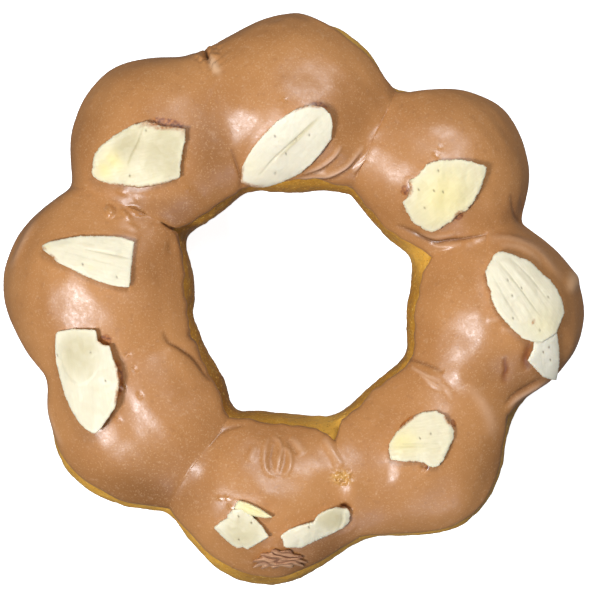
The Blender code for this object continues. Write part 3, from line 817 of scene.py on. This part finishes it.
SLICES = {name: filled_in(shown, seed) for seed, (name, shown) in enumerate(SLICES.items(), 1)}


def collars(view):
    """Icing drawn up under and around each almond slice."""
    rise = np.zeros(view.shape[1])
    for shown in SLICES.values():
        off_x, off_y = view - shown["middle"][:, None]
        distance = np.hypot(off_x, off_y)
        near = np.flatnonzero(distance < shown["radius"].max() + 4 * COLLAR_WIDTH)
        rim = radius_at(shown["radius"], np.arctan2(off_y[near], off_x[near]))
        beyond = np.maximum(distance[near] - rim, 0.0)
        rise[near] = np.maximum(rise[near], COLLAR_HEIGHT * fade(beyond / COLLAR_WIDTH))
    return rise


def pooled_icing(points):
    """How far icing that has run into the valleys between the balls fills them."""
    gaps = np.sort(np.array(ball_gaps(points)), axis=0)
    step = gaps[1] - gaps[0]
    filled = POOL_SOFTNESS * np.log1p(np.exp(-step / POOL_SOFTNESS))
    filled -= WELD_SOFTNESS * np.log1p(np.exp(-step / WELD_SOFTNESS))
    amount = np.zeros(len(points))
    for angle, most in POOLS:
        amount += most * fade(angle_apart(ring_angle(points), angle) / POOL_HALF_ANGLE, 4)
    high = np.clip((points[:, 2] - POOL_LOW) / (POOL_HIGH - POOL_LOW), 0.0, 1.0)
    return filled * amount * high * high * (3 - 2 * high)


def icing_relief(points):
    """How far everything but the blisters moves the icing's face outwards."""
    view = seen_from_above(points)
    rise = sum(height * uneven(points, wave, seed) for height, wave, seed in ICING_WAVES)
    rise += pooled_icing(points) + collars(view)
    rise += added_up(fold, view, [entry[:3] for entry in FOLDS])
    rise += added_up(fold, view, [(*entry, STUCK_SKIN_HEIGHT) for entry in STUCK_SKIN])
    rise += added_up(crease, view, CREASES + SCRATCHES)
    rise += added_up(ledge, view, LEDGES) + added_up(swell, view, SWELLS)
    rise += added_up(bump, view, BUMPS)
    for *spot, power, height, grain, seed in ROUGH_SPOTS:
        near = fade(in_spot(view, *spot), power)
        rough = np.flatnonzero(near > 0.05)
        rise[rough] += height * near[rough] * grainy(points[rough], grain, seed)
    return rise


def icing_height(x, y):
    """The height of the smooth icing over each place."""

    def within(height):
        return dough_distance(np.stack((x, y, height), axis=1)) < ICING_TOP

    return halved(within, np.full(len(x), CORE_HEIGHT), np.full(len(x), HIGHEST_POINT))


def iced_height(x, y):
    """The height of the icing's face over each place, with its folds and collars."""
    height = icing_height(x, y)
    face = np.stack((x, y, height), axis=1)
    return height + icing_relief(face) / outward_normals(face)[:, 2]


def icing_slope(x, y):
    """The icing's slope along X and Y at one place."""
    around_x = np.array((x + SLOPE_STEP, x - SLOPE_STEP, x, x))
    around_y = np.array((y, y, y + SLOPE_STEP, y - SLOPE_STEP))
    east, west, north, south = icing_height(around_x, around_y)
    return np.array((east - west, north - south)) / (2 * SLOPE_STEP)


# Meshes


def rolled_grid(rows, steps, closed):
    """A fine grid to roll into a ring or a disc: the body, and each point's ring angle and row."""
    body = bmesh.new()
    spans = rows if closed else rows - 1
    bmesh.ops.create_grid(body, x_segments=steps, y_segments=spans, size=0.5)
    places = np.array([vertex.co[:] for vertex in body.verts])
    column = np.rint((places[:, 0] + 0.5) * steps).astype(int) % steps
    row = np.rint((places[:, 1] + 0.5) * spans).astype(int) % rows
    return body, column * 360.0 / steps, row


def move_points(body, places):
    for vertex, place in zip(body.verts, places):
        vertex.co = place


def add_marks(body, **marks):
    """Write how much each point has of something, as an attribute that the finish reads."""
    for name, amounts in marks.items():
        layer = body.verts.layers.float.new(name)
        for vertex, amount in zip(body.verts, amounts):
            vertex[layer] = float(amount)


def finish_piece(name, body, node, finish):
    """Make the piece from its bmesh, in metres, with its finish, and put it in its node's place."""
    bmesh.ops.remove_doubles(body, verts=body.verts, dist=1e-5)
    bmesh.ops.recalc_face_normals(body, faces=body.faces)
    mesh = bpy.data.meshes.new(name)
    body.to_mesh(mesh)
    body.free()
    mesh.transform(Matrix.Scale(MM, 4))
    mesh.materials.append(finish)
    mesh.shade_smooth()
    piece = bpy.data.objects.new(name, mesh)
    bpy.context.scene.collection.objects.link(piece)
    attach(piece, "root")
    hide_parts(node)


def steepness_of(normals, section):
    """How much painted shade the face gets for being upright, up to 1 on the hole's side and less
    on the outside.
    """
    most = np.where(np.abs(angle_apart(section, 180)) < 90, 1.0, STEEP_OUTSIDE)
    return np.clip((STEEP_BELOW - normals[:, 2]) / STEEP_RANGE, 0.0, 1.0) * most


def under_the_lip(ring, section):
    """A painted shadow on the dough just under the icing's edges."""
    outside_edge, hole_edge = icing_edges(ring)
    gap = np.minimum(np.abs(section - outside_edge), np.abs(section - hole_edge))
    return fade(gap / LIP_SHADE_ANGLE)


def make_dough(finish):
    """The fried dough: a closed ring with small bubbles and pits in its crust."""
    body, ring, rows = rolled_grid(DOUGH_SECTION_STEPS, DOUGH_RING_STEPS, closed=True)
    section = rows * 360.0 / DOUGH_SECTION_STEPS
    skin = surface_points(ring, section)
    normals = outward_normals(skin)
    height, *wave = CRUST_WAVE
    crust = height * uneven(skin, *wave)
    for height, *grain in CRUST_GRAINS:
        crust += height * grainy(skin, *grain)
    skin += normals * crust[:, None]
    skin[:, 2] = np.maximum(skin[:, 2], 0.0)
    move_points(body, skin)
    # Painted shade on the upright faces, and a painted shadow just under the icing's lip.
    add_marks(body, steep=steepness_of(normals, section), under_lip=under_the_lip(ring, section))
    view = seen_from_above(skin)
    # Painted shade in the darker spots of the dough, and painted light in the paler ones.
    browned = added_up(bump, view, BROWNED_DOUGH)
    pale = added_up(bump, view, PALE_DOUGH)
    add_marks(body, browned=np.minimum(browned, 1.0), pale=np.minimum(pale, 1.0))
    finish_piece("golden_dough", body, "dough_ring", finish)


def icing_rows():
    """For each row round the icing's section: its share of the way from the outside edge's lip to
    the hole edge's lip, the millimetres to add, how far in from the nearer edge it starts, and
    whether it is on the underside."""
    lip = LIP_WIDTH * (1 - np.cos(np.linspace(0, math.pi / 2, ICING_LIP_ROWS)))
    top = np.linspace(0.0, 1.0, ICING_TOP_ROWS + 2)[1:-1]
    top += TOP_ROW_CROWDING * np.sin(2 * math.pi * top)
    under = np.linspace(1.0, 0.0, ICING_UNDER_ROWS + 2)[1:-1]
    past_lip = np.full(len(top), LIP_WIDTH)
    share = np.concatenate((np.zeros(len(lip)), top, np.ones(len(lip)), under))
    added = np.concatenate((lip, past_lip, 2 * LIP_WIDTH - lip[::-1], 2 * LIP_WIDTH * under))
    inset = np.concatenate((lip, past_lip, lip[::-1], np.full(len(under), FAR_FROM_LIP)))
    return share, added, inset, inset == FAR_FROM_LIP


def crowded_angles(steps):
    """Ring angles that lie closer together where the icing has its finest detail."""
    fine = np.arange(3600) / 10
    crowd = np.ones(len(fine))
    for angle, half_width, more in CROWDED:
        crowd += more * fade(angle_apart(fine, angle) / half_width)
    total = np.cumsum(crowd)
    return np.interp(np.arange(steps) / steps, total / total[-1], fine)


def make_icing(finish):
    """The icing: a closed skin with a rounded lip, folded, creased and blistered on top."""
    by_row = icing_rows()
    body, ring, rows = rolled_grid(len(by_row[0]), ICING_RING_STEPS, closed=True)
    ring = crowded_angles(ICING_RING_STEPS)[np.rint(ring * ICING_RING_STEPS / 360.0).astype(int)]
    share, added, inset, beneath = (amounts[rows] for amounts in by_row)
    outside_edge, hole_edge = icing_edges(ring)
    span = hole_edge - outside_edge
    section = outside_edge + share * (span - 2 * LIP_WIDTH * DEGREES_PER_MM)
    section += added * DEGREES_PER_MM
    inset = inset + np.minimum(share, 1 - share) * span / DEGREES_PER_MM
    base = surface_points(ring, section)
    normals = outward_normals(base)
    round_of_lip = np.sqrt(1 - (1 - np.minimum(inset / LIP_WIDTH, 1.0)) ** 2)
    bead = LIP_BEAD * fade((inset - BEAD_INSET) / BEAD_WIDTH)
    face = base + normals * ICING_TOP
    relief = icing_relief(face) * (1 - fade(inset / RELIEF_INSET))
    thickness = (ICING_TOP + ICING_SUNK + bead + relief) * round_of_lip - ICING_SUNK
    thickness[beneath] = -ICING_SUNK
    view = seen_from_above(face)
    skin = base + normals * thickness[:, None]
    skin[:, 2] += added_up(blister, view, BLISTERS) * round_of_lip
    move_points(body, skin)
    # A painted highlight along the crests of the folds.
    pale = [(line, CREST_WIDTH * width, paler) for line, width, _, paler in FOLDS]
    crest = strongest(fold, view, pale)
    drops = [
        (place, DROP_SHINE * width, DROP_SHINE * length, turn, WET_DROP)
        for place, width, length, turn, height in BUMPS
        if height > 0 and width < SMALL_DROP
    ]
    drops += [(place, radius, radius, 0, WET_BLISTER) for place, radius, _ in BLISTERS]
    wet = np.maximum(WET_CREST * crest, strongest(bump, view, drops))
    # Painted shade along the creases.
    groove = strongest(fold, view, dark_lines(CREASES, GROOVE_DARKNESS))
    add_marks(body, crest=crest, groove=groove, wet=wet)
    scratch = strongest(fold, view, [(line, width, 1.0) for line, width, _ in SCRATCHES])
    stuck = strongest(fold, view, [(line, width, 1.0) for line, width in STUCK_SKIN])
    # Painted shade: darker icing toward the lip and in the listed spots on the flanks and in the
    # valleys.
    deep = LIP_DARKNESS * (1.0 - round_of_lip) + added_up(bump, view, DEEP_TONES)
    add_marks(body, scratch=scratch, stuck=stuck, deep=np.minimum(deep, 1.0))
    scrap = strongest(firm_spot, view, PALE_SCRAPS)
    add_marks(body, bare=firm_spot(view, *BARE_SPOT), scrap=scrap)
    finish_piece("milk_chocolate_icing", body, "chocolate_icing", finish)


def slab_grid():
    """A fine disc for a slab: the body, each point's direction in degrees, share of the radius,
    how far in from the rim, and level from the underside to the top."""
    profile = [(share, 0.0, 0.0) for share in np.linspace(0.0, 1.0, SLICE_UNDER_ROWS)[:-1]]
    profile.extend(SLAB_WALL)
    for share in 1.0 - np.linspace(0.0, 1.0, SLICE_TOP_ROWS) ** SLAB_TOP_CROWDING:
        profile.append((share, SLAB_TOP_INSET * share, 1.0))
    body, heading, rows = rolled_grid(len(profile), SLICE_SECTORS, closed=False)
    return body, heading, *np.array(profile)[rows].T


def drape(x, y, follow, lift):
    """The height of a stiff sheet's underside: part way between its own plane and the icing."""
    middle = (x.min() + x.max()) / 2, (y.min() + y.max()) / 2
    slope = icing_slope(*middle)
    steepness = np.linalg.norm(slope)
    lift = lift * math.hypot(1.0, steepness)
    slope *= min(1.0, STEEPEST_LEAN / steepness)
    under = iced_height(x, y)
    clear = slope[0] * (x - middle[0]) + slope[1] * (y - middle[1]) - under
    return under + (1.0 - follow) * (clear - clear.min()) + lift


def make_slice(name, shown, finish):
    """An almond slice: a slab turned from a section, drawn to the slice's outline and draped."""
    body, heading, share, inset, level = slab_grid()
    angles = np.radians(heading)
    rim = radius_at(shown["radius"], angles)
    distance = np.maximum(share * rim - inset, 0.0)
    away = np.stack((distance * np.cos(angles), distance * np.sin(angles)))
    view = shown["middle"][:, None] + away
    guess = np.array(under_view(*shown["middle"], TYPICAL_TOP))
    x, y = under_view(*view, icing_height(guess[:1], guess[1:])[0] + SLICE_THICKNESS)
    spread = np.stack((x, y, np.full(len(x), float(shown["seed"]))), axis=1)
    relief = SLICE_WAVE * uneven(spread, SLICE_WAVE_LENGTH, shown["seed"] + 40)
    relief += SLICE_GRAIN * grainy(spread, SLICE_GRAIN_LENGTH, shown["seed"])
    relief += added_up(fold, view, shown["folds"]) + added_up(crease, view, shown["creases"])
    relief += added_up(ledge, view, shown["ledges"])
    relief += added_up(bump, view, [(place, *FLECK_PIT) for place in shown["flecks"]])
    thinner = 1.0 - SLICE_THINNER_RIM * np.clip(distance / rim, 0, 1) ** 4
    z = drape(x, y, shown["follow"], -SLICE_SUNK) + level * (SLICE_THICKNESS * thinner + relief)
    move_points(body, np.stack((x, y, z), axis=1))
    skin = strongest(firm_spot, view, shown["skin_spots"])
    for start, end, width in shown["skin_rims"]:
        off = np.abs(angle_apart(heading, (start + end) / 2)) / ((end - start) / 2)
        skin = np.maximum(skin, fade(off, 6) * fade(np.maximum(rim - distance, 0.0) / width, 4))
    yellow = strongest(bump, view, [(*spot, 1.0) for spot in shown["yellow"]])
    grey = strongest(firm_spot, view, shown["grey"])
    fleck = strongest(bump, view, [(place, *FLECK_STAIN) for place in shown["flecks"]])
    # Painted shade along the slice's creases.
    line = strongest(fold, view, dark_lines(shown["creases"], SLICE_LINE_DARKNESS))
    add_marks(body, skin=skin, yellow=yellow, grey=grey, fleck=fleck)
    add_marks(body, edge=fade((rim - distance) / SLICE_EDGE_WIDTH, 1), line=line)
    grain_along, grain_across = measured_along(*away, shown["heading"])
    pale = np.full(len(x), shown["pale"])
    add_marks(body, pale=pale, grain_along=grain_along, grain_across=grain_across)
    finish_piece(name.replace("slice", "flake"), body, name, finish)


def make_torn_skin(finish):
    """The torn skin: an arched scrap with a jagged rim and long folds combed along it."""
    body, heading, share, _, level = slab_grid()
    angles = np.radians(heading)
    jagged = 0.5 + 0.5 * np.cos(SKIN_NOTCHES * angles + 0.6 * np.sin(3 * angles))
    reach = share * (1.0 - SKIN_NOTCH_DEPTH * (1.0 + 0.8 * (angles < 0)) * (1 - jagged) * 2)
    flat_x = reach * np.cos(angles)
    flat_y = reach * np.sin(angles)
    local_x = SKIN_HALF_LENGTH * flat_x
    local_y = SKIN_HALF_WIDTH * flat_y + SKIN_ARCH * (1.0 - flat_x**2)
    x, y = measured_along(local_x, local_y, -SKIN_HEADING)
    x, y = SKIN_X + x, SKIN_Y + y
    combed = SKIN_HALF_WIDTH * flat_y * (1.0 + 0.45 * flat_x) + 0.5 * flat_x - 0.5 * flat_x**2
    spread = np.stack((local_x * 0.35, local_y, np.zeros(len(x))), axis=1)
    combed = combed + 0.24 * uneven(spread, 2.0, 71) + 0.12 * uneven(spread, 0.9, 72)
    folds = np.abs(np.sin(math.pi * combed / SKIN_FOLD_WAVE)) ** 0.7
    fine = np.abs(np.sin(math.pi * combed / SKIN_FINE_WAVE + 1.0))
    rise = SKIN_FOLD_HEIGHT * (folds + 0.3 * fine) * (1.0 - share**6)
    z = drape(x, y, SKIN_FOLLOW, 0.0) + level * (SKIN_THICKNESS + rise)
    move_points(body, np.stack((x, y, z), axis=1))
    lower_edge = np.clip(share - 0.55, 0.0, 1.0) / 0.45 * np.clip(0.4 - flat_y, 0.0, 1.0)
    # Painted light on the tops of the skin's folds, and painted shade in their troughs.
    add_marks(body, crest=folds * 0.75 + fine * 0.25, edge=lower_edge * folds)
    add_marks(body, grain_along=local_x, grain_across=local_y)
    finish_piece("torn_almond_skin", body, "almond_skin_shred", finish)


# Finishes


class Finish:
    """A material with a Principled shader, and short ways to add the nodes that feed it."""

    def __init__(self, name):
        self.material = bpy.data.materials.new(name)
        self.material.use_nodes = True
        self.tree = self.material.node_tree
        self.shader = self.tree.nodes["Principled BSDF"]
        self.places = self.add("ShaderNodeTexCoord").outputs["Object"]

    def add(self, kind, **settings):
        node = self.tree.nodes.new(kind)
        for name, value in settings.items():
            setattr(node, name, value)
        return node

    def feed(self, socket, value):
        """Link another node's output to a socket, or set the value on it."""
        if isinstance(value, bpy.types.NodeSocket):
            self.tree.links.new(value, socket)
        else:
            socket.default_value = value

    def set(self, **values):
        for name, value in values.items():
            self.feed(self.shader.inputs[name.replace("_", " ")], value)

    def mark(self, name):
        """An attribute of the piece, from 0 to 1."""
        return self.add("ShaderNodeAttribute", attribute_name=name).outputs["Fac"]

    def grain(self, size, detail=2.0, rough=0.5, places=None):
        """Cloudy noise with spots of about this size in millimetres."""
        node = self.add("ShaderNodeTexNoise")
        self.feed(node.inputs["Vector"], places or self.places)
        self.feed(node.inputs["Scale"], 1.0 / (size * MM))
        self.feed(node.inputs["Detail"], detail)
        self.feed(node.inputs["Roughness"], rough)
        return node.outputs["Fac"]

    def pores(self, size):
        node = self.add("ShaderNodeTexVoronoi", feature="F1")
        self.feed(node.inputs["Vector"], self.places)
        self.feed(node.inputs["Scale"], 1.0 / (size * MM))
        return node.outputs["Distance"]

    def between(self, value, low, high, to_low=0.0, to_high=1.0):
        """Stretch a value from one range to another, and stop at the ends."""
        node = self.add("ShaderNodeMapRange")
        names = ("Value", "From Min", "From Max", "To Min", "To Max")
        for name, setting in zip(names, (value, low, high, to_low, to_high)):
            self.feed(node.inputs[name], setting)
        return node.outputs["Result"]

    def clouds(self, size, detail, rough, *levels):
        """Cloudy noise, stretched between two levels."""
        return self.between(self.grain(size, detail, rough), *levels)

    def maths(self, operation, first, second):
        node = self.add("ShaderNodeMath", operation=operation)
        self.feed(node.inputs[0], first)
        self.feed(node.inputs[1], second)
        return node.outputs[0]

    def blend(self, amount, first, second):
        """Mix two colours."""
        node = self.add("ShaderNodeMix", data_type="RGBA")
        self.feed(node.inputs["Factor"], amount)
        for socket, colour in ((node.inputs[6], first), (node.inputs[7], second)):
            self.feed(socket, (*colour, 1.0) if isinstance(colour, tuple) else colour)
        return node.outputs[2]

    def tint(self, base, where, most, colour):
        """Bring another colour in where an attribute or a value is high, up to this share."""
        value = self.mark(where) if isinstance(where, str) else where
        return self.blend(self.maths("MULTIPLY", value, most), base, colour)

    def raise_by(self, height, distance, strength, below=None):
        """A bump of this height in millimetres, on top of another."""
        node = self.add("ShaderNodeBump")
        self.feed(node.inputs["Height"], height)
        self.feed(node.inputs["Distance"], distance * MM)
        self.feed(node.inputs["Strength"], strength)
        if below is not None:
            self.feed(node.inputs["Normal"], below)
        return node.outputs["Normal"]

    def along_the_grain(self, narrowing):
        """Places along and across a piece's grain, so that spots are drawn out along it."""
        node = self.add("ShaderNodeCombineXYZ")
        self.feed(node.inputs[0], self.maths("MULTIPLY", self.mark("grain_along"), narrowing * MM))
        self.feed(node.inputs[1], self.maths("MULTIPLY", self.mark("grain_across"), MM))
        return node.outputs[0]


def icing_finish():
    finish = Finish("milk_chocolate")
    cloudy = finish.clouds(9.0, 2.0, 0.5, 0.35, 0.65)
    base = finish.blend(cloudy, (0.415, 0.178, 0.056), (0.47, 0.209, 0.069))
    pale_dots = finish.clouds(0.30, 1.0, 0.6, 0.58, 0.70)
    blotches = finish.clouds(1.0, 1.0, 0.5, 0.62, 0.75)
    dark_dots = finish.clouds(0.9, 0.0, 0.5, 0.70, 0.78)
    crumb = finish.clouds(0.8, 2.0, 0.5, 0.35, 0.65)
    crumbs = finish.blend(crumb, (0.40, 0.17, 0.03), (0.58, 0.30, 0.075))
    patchy = finish.clouds(0.5, 2.0, 0.5, 0.35, 0.65)
    brown = finish.blend(patchy, (0.19, 0.052, 0.011), (0.44, 0.155, 0.032))
    for where, most, colour in (
        # Painted shade on the flanks, in the valleys and at the lip.
        ("deep", 1.0, (0.25, 0.10, 0.028)),
        # A painted highlight along the fold crests.
        ("crest", 0.8, (0.72, 0.45, 0.29)),
        # Painted shade along the creases.
        ("groove", 0.85, (0.13, 0.045, 0.014)),
        (pale_dots, 0.32, (0.66, 0.39, 0.19)),
        (blotches, 0.12, (0.70, 0.44, 0.26)),
        (dark_dots, 0.18, (0.26, 0.10, 0.035)),
        ("bare", 1.0, crumbs),
        ("scrap", 0.8, (0.62, 0.37, 0.20)),
        ("scratch", 0.95, (0.19, 0.05, 0.008)),
        (finish.between(finish.mark("stuck"), 0.35, 0.6), 1.0, brown),
    ):
        base = finish.tint(base, where, most, colour)
    dull = finish.clouds(0.6, 3.0, 0.5, 0.3, 0.7, 0.30, 0.43)
    wetness = finish.between(finish.mark("wet"), 0.0, 1.0, 1.0, 0.4)
    fine = finish.raise_by(finish.grain(0.35), 0.03, 0.5)
    soft = finish.raise_by(finish.grain(1.6), 0.06, 0.5, fine)
    roughness = finish.maths("MULTIPLY", dull, wetness)
    finish.set(Base_Color=base, Roughness=roughness, Normal=soft, IOR=1.5)
    return finish.material


def dough_finish():
    finish = Finish("fried_crust")
    cloudy = finish.clouds(3.5, 3.0, 0.5, 0.3, 0.7)
    golden = finish.blend(cloudy, (0.72, 0.31, 0.024), (1.0, 0.50, 0.055))
    split = finish.add("ShaderNodeSeparateXYZ")
    finish.feed(split.inputs[0], finish.places)
    low = finish.between(split.outputs[2], 0.5 * MM, 8.0 * MM, 1.0, 0.0)
    patches = finish.clouds(6.0, 3.0, 0.5, 0.35, 0.65, 0.45, 1.0)
    for where, most, colour in (
        (finish.clouds(0.7, 3.0, 0.6, 0.35, 0.7), 0.5, (0.92, 0.56, 0.10)),
        # Painted shade on the upright faces.
        ("steep", 0.75, (0.34, 0.13, 0.01)),
        # A painted shadow just under the icing's lip.
        ("under_lip", 0.35, (0.14, 0.055, 0.012)),
        # Painted light where the dough is paler.
        ("pale", 1.0, (0.98, 0.54, 0.09)),
        # Painted shade in the darker spots.
        ("browned", 0.9, (0.22, 0.075, 0.012)),
        (finish.clouds(0.45, 2.0, 0.6, 0.58, 0.70), 0.6, (1.0, 0.66, 0.17)),
        (finish.clouds(0.6, 2.0, 0.6, 0.40, 0.28), 0.75, (0.42, 0.18, 0.022)),
        (low, patches, (0.30, 0.12, 0.03)),
    ):
        golden = finish.tint(golden, where, most, colour)
    roughness = finish.clouds(1.5, 2.0, 0.5, 0.3, 0.7, 0.30, 0.52)
    pores = finish.raise_by(finish.pores(0.9), 0.10, 0.6)
    crust = finish.raise_by(finish.grain(0.5, 3.0, 0.65), 0.16, 0.8, pores)
    finish.set(Base_Color=golden, Roughness=roughness, Normal=crust)
    return finish.material


def almond_finish():
    finish = Finish("almond_flesh")
    streaks = finish.along_the_grain(0.12)
    fibre = finish.between(finish.grain(0.35, places=streaks), 0.3, 0.7)
    base = finish.blend(fibre, (0.66, 0.56, 0.34), (0.73, 0.63, 0.41))
    ragged = finish.clouds(0.5, 2.0, 0.5, 0.3, 0.6, 0.4, 1.0)
    patchy = finish.clouds(0.4, 2.0, 0.5, 0.3, 0.7)
    brown = finish.blend(patchy, (0.26, 0.09, 0.025), (0.52, 0.23, 0.075))
    for where, most, colour in (
        (finish.clouds(2.2, 2.0, 0.5, 0.4, 0.65), 0.35, (0.70, 0.61, 0.36)),
        ("yellow", 0.75, (0.79, 0.65, 0.25)),
        ("pale", 1.0, (0.79, 0.71, 0.54)),
        ("grey", 0.85, (0.54, 0.45, 0.25)),
        ("edge", 0.5, (0.82, 0.75, 0.55)),
        # Painted shade along the creases.
        ("line", 0.55, (0.36, 0.29, 0.15)),
        ("fleck", 0.85, (0.14, 0.08, 0.03)),
        ("skin", ragged, brown),
    ):
        base = finish.tint(base, where, most, colour)
    fibres = finish.raise_by(finish.grain(0.3, 2.0, 0.6, streaks), 0.05, 0.5)
    finish.set(
        Base_Color=base,
        Roughness=finish.clouds(1.0, 2.0, 0.5, 0.3, 0.7, 0.45, 0.6),
        Normal=finish.raise_by(finish.grain(0.8, 3.0), 0.05, 0.5, fibres),
        Subsurface_Weight=0.15,
        Subsurface_Radius=(0.8 * MM, 0.6 * MM, 0.35 * MM),
        Subsurface_Scale=1.0,
    )
    return finish.material


def skin_finish():
    finish = Finish("almond_skin")
    streaks = finish.along_the_grain(0.2)
    fibre = finish.between(finish.grain(0.3, places=streaks), 0.3, 0.7)
    tan = finish.blend(fibre, (0.36, 0.155, 0.07), (0.56, 0.30, 0.155))
    # Painted shade in the troughs of the folds, and the tan on their tops.
    torn = finish.blend(finish.between(finish.mark("crest"), 0.1, 0.8), (0.14, 0.045, 0.018), tan)
    finish.set(
        Base_Color=finish.tint(torn, "edge", 0.55, (0.66, 0.40, 0.22)),
        Roughness=finish.clouds(0.8, 2.0, 0.5, 0.3, 0.7, 0.5, 0.7),
        Normal=finish.raise_by(finish.grain(0.25, 3.0, 0.6, streaks), 0.08, 0.7),
    )
    return finish.material


# The setting


def make_floor():
    body = bmesh.new()
    bmesh.ops.create_grid(body, x_segments=2, y_segments=2, size=1.5)
    mesh = bpy.data.meshes.new("pale_table")
    body.to_mesh(mesh)
    body.free()
    finish = Finish("pale_table")
    finish.set(Base_Color=finish.blend(finish.grain(40.0), (0.90, 0.90, 0.90), (0.94, 0.94, 0.94)))
    finish.set(Roughness=0.9, Specular_IOR_Level=0.1)
    finish.set(Emission_Color=(1.0, 1.0, 1.0, 1.0), Emission_Strength=0.9)
    mesh.materials.append(finish.material)
    floor = bpy.data.objects.new("pale_table", mesh)
    bpy.context.scene.collection.objects.link(floor)
    floor.visible_glossy = False
    floor.visible_diffuse = False


def add_light(name, place, size, power, colour):
    """A rectangular lamp at a place in metres, aimed at the middle of the doughnut."""
    lamp = bpy.data.lights.new(name, "AREA")
    lamp.shape = "RECTANGLE"
    lamp.size, lamp.size_y = size
    lamp.energy = power
    lamp.color = colour
    holder = bpy.data.objects.new(name, lamp)
    holder.location = place
    aim = Vector((0.0, 0.0, 0.015)) - Vector(place)
    holder.rotation_euler = aim.to_track_quat("-Z", "Y").to_euler()
    bpy.context.scene.collection.objects.link(holder)


def set_the_light():
    world = bpy.data.worlds.new("soft_room")
    bpy.context.scene.world = world
    world.use_nodes = True
    background = world.node_tree.nodes["Background"]
    background.inputs["Color"].default_value = (0.95, 0.97, 1.0, 1.0)
    background.inputs["Strength"].default_value = 0.14
    add_light("window_left", (-0.30, -0.17, 0.62), (0.12, 0.15), 4.2, (0.95, 1.0, 1.07))
    add_light("panel_behind", (0.14, 0.35, 0.59), (0.26, 0.26), 2.6, (0.95, 1.0, 1.07))
    add_light("window_front", (0.23, -0.56, 0.33), (0.30, 0.26), 0.75, (0.62, 0.75, 1.0))


def set_the_camera():
    lens = bpy.data.cameras.new("straight_above")
    eye = bpy.data.objects.new("straight_above", lens)
    lens.sensor_width = FILM_WIDTH
    lens.lens = FILM_WIDTH * (EYE_HEIGHT - CORE_HEIGHT) / FIELD_WIDTH
    lens.clip_start = 0.01
    lens.clip_end = 20.0
    eye.location = (EYE_X * MM, EYE_Y * MM, EYE_HEIGHT * MM)
    bpy.context.scene.collection.objects.link(eye)
    bpy.context.scene.camera = eye
    bpy.context.scene.view_settings.view_transform = "Standard"


set_the_camera()
set_the_light()
make_floor()
make_dough(dough_finish())
make_icing(icing_finish())
flesh = almond_finish()
for slice_name, shown in SLICES.items():
    make_slice(slice_name, shown, flesh)
make_torn_skin(skin_finish())

bpy.context.view_layer.update()
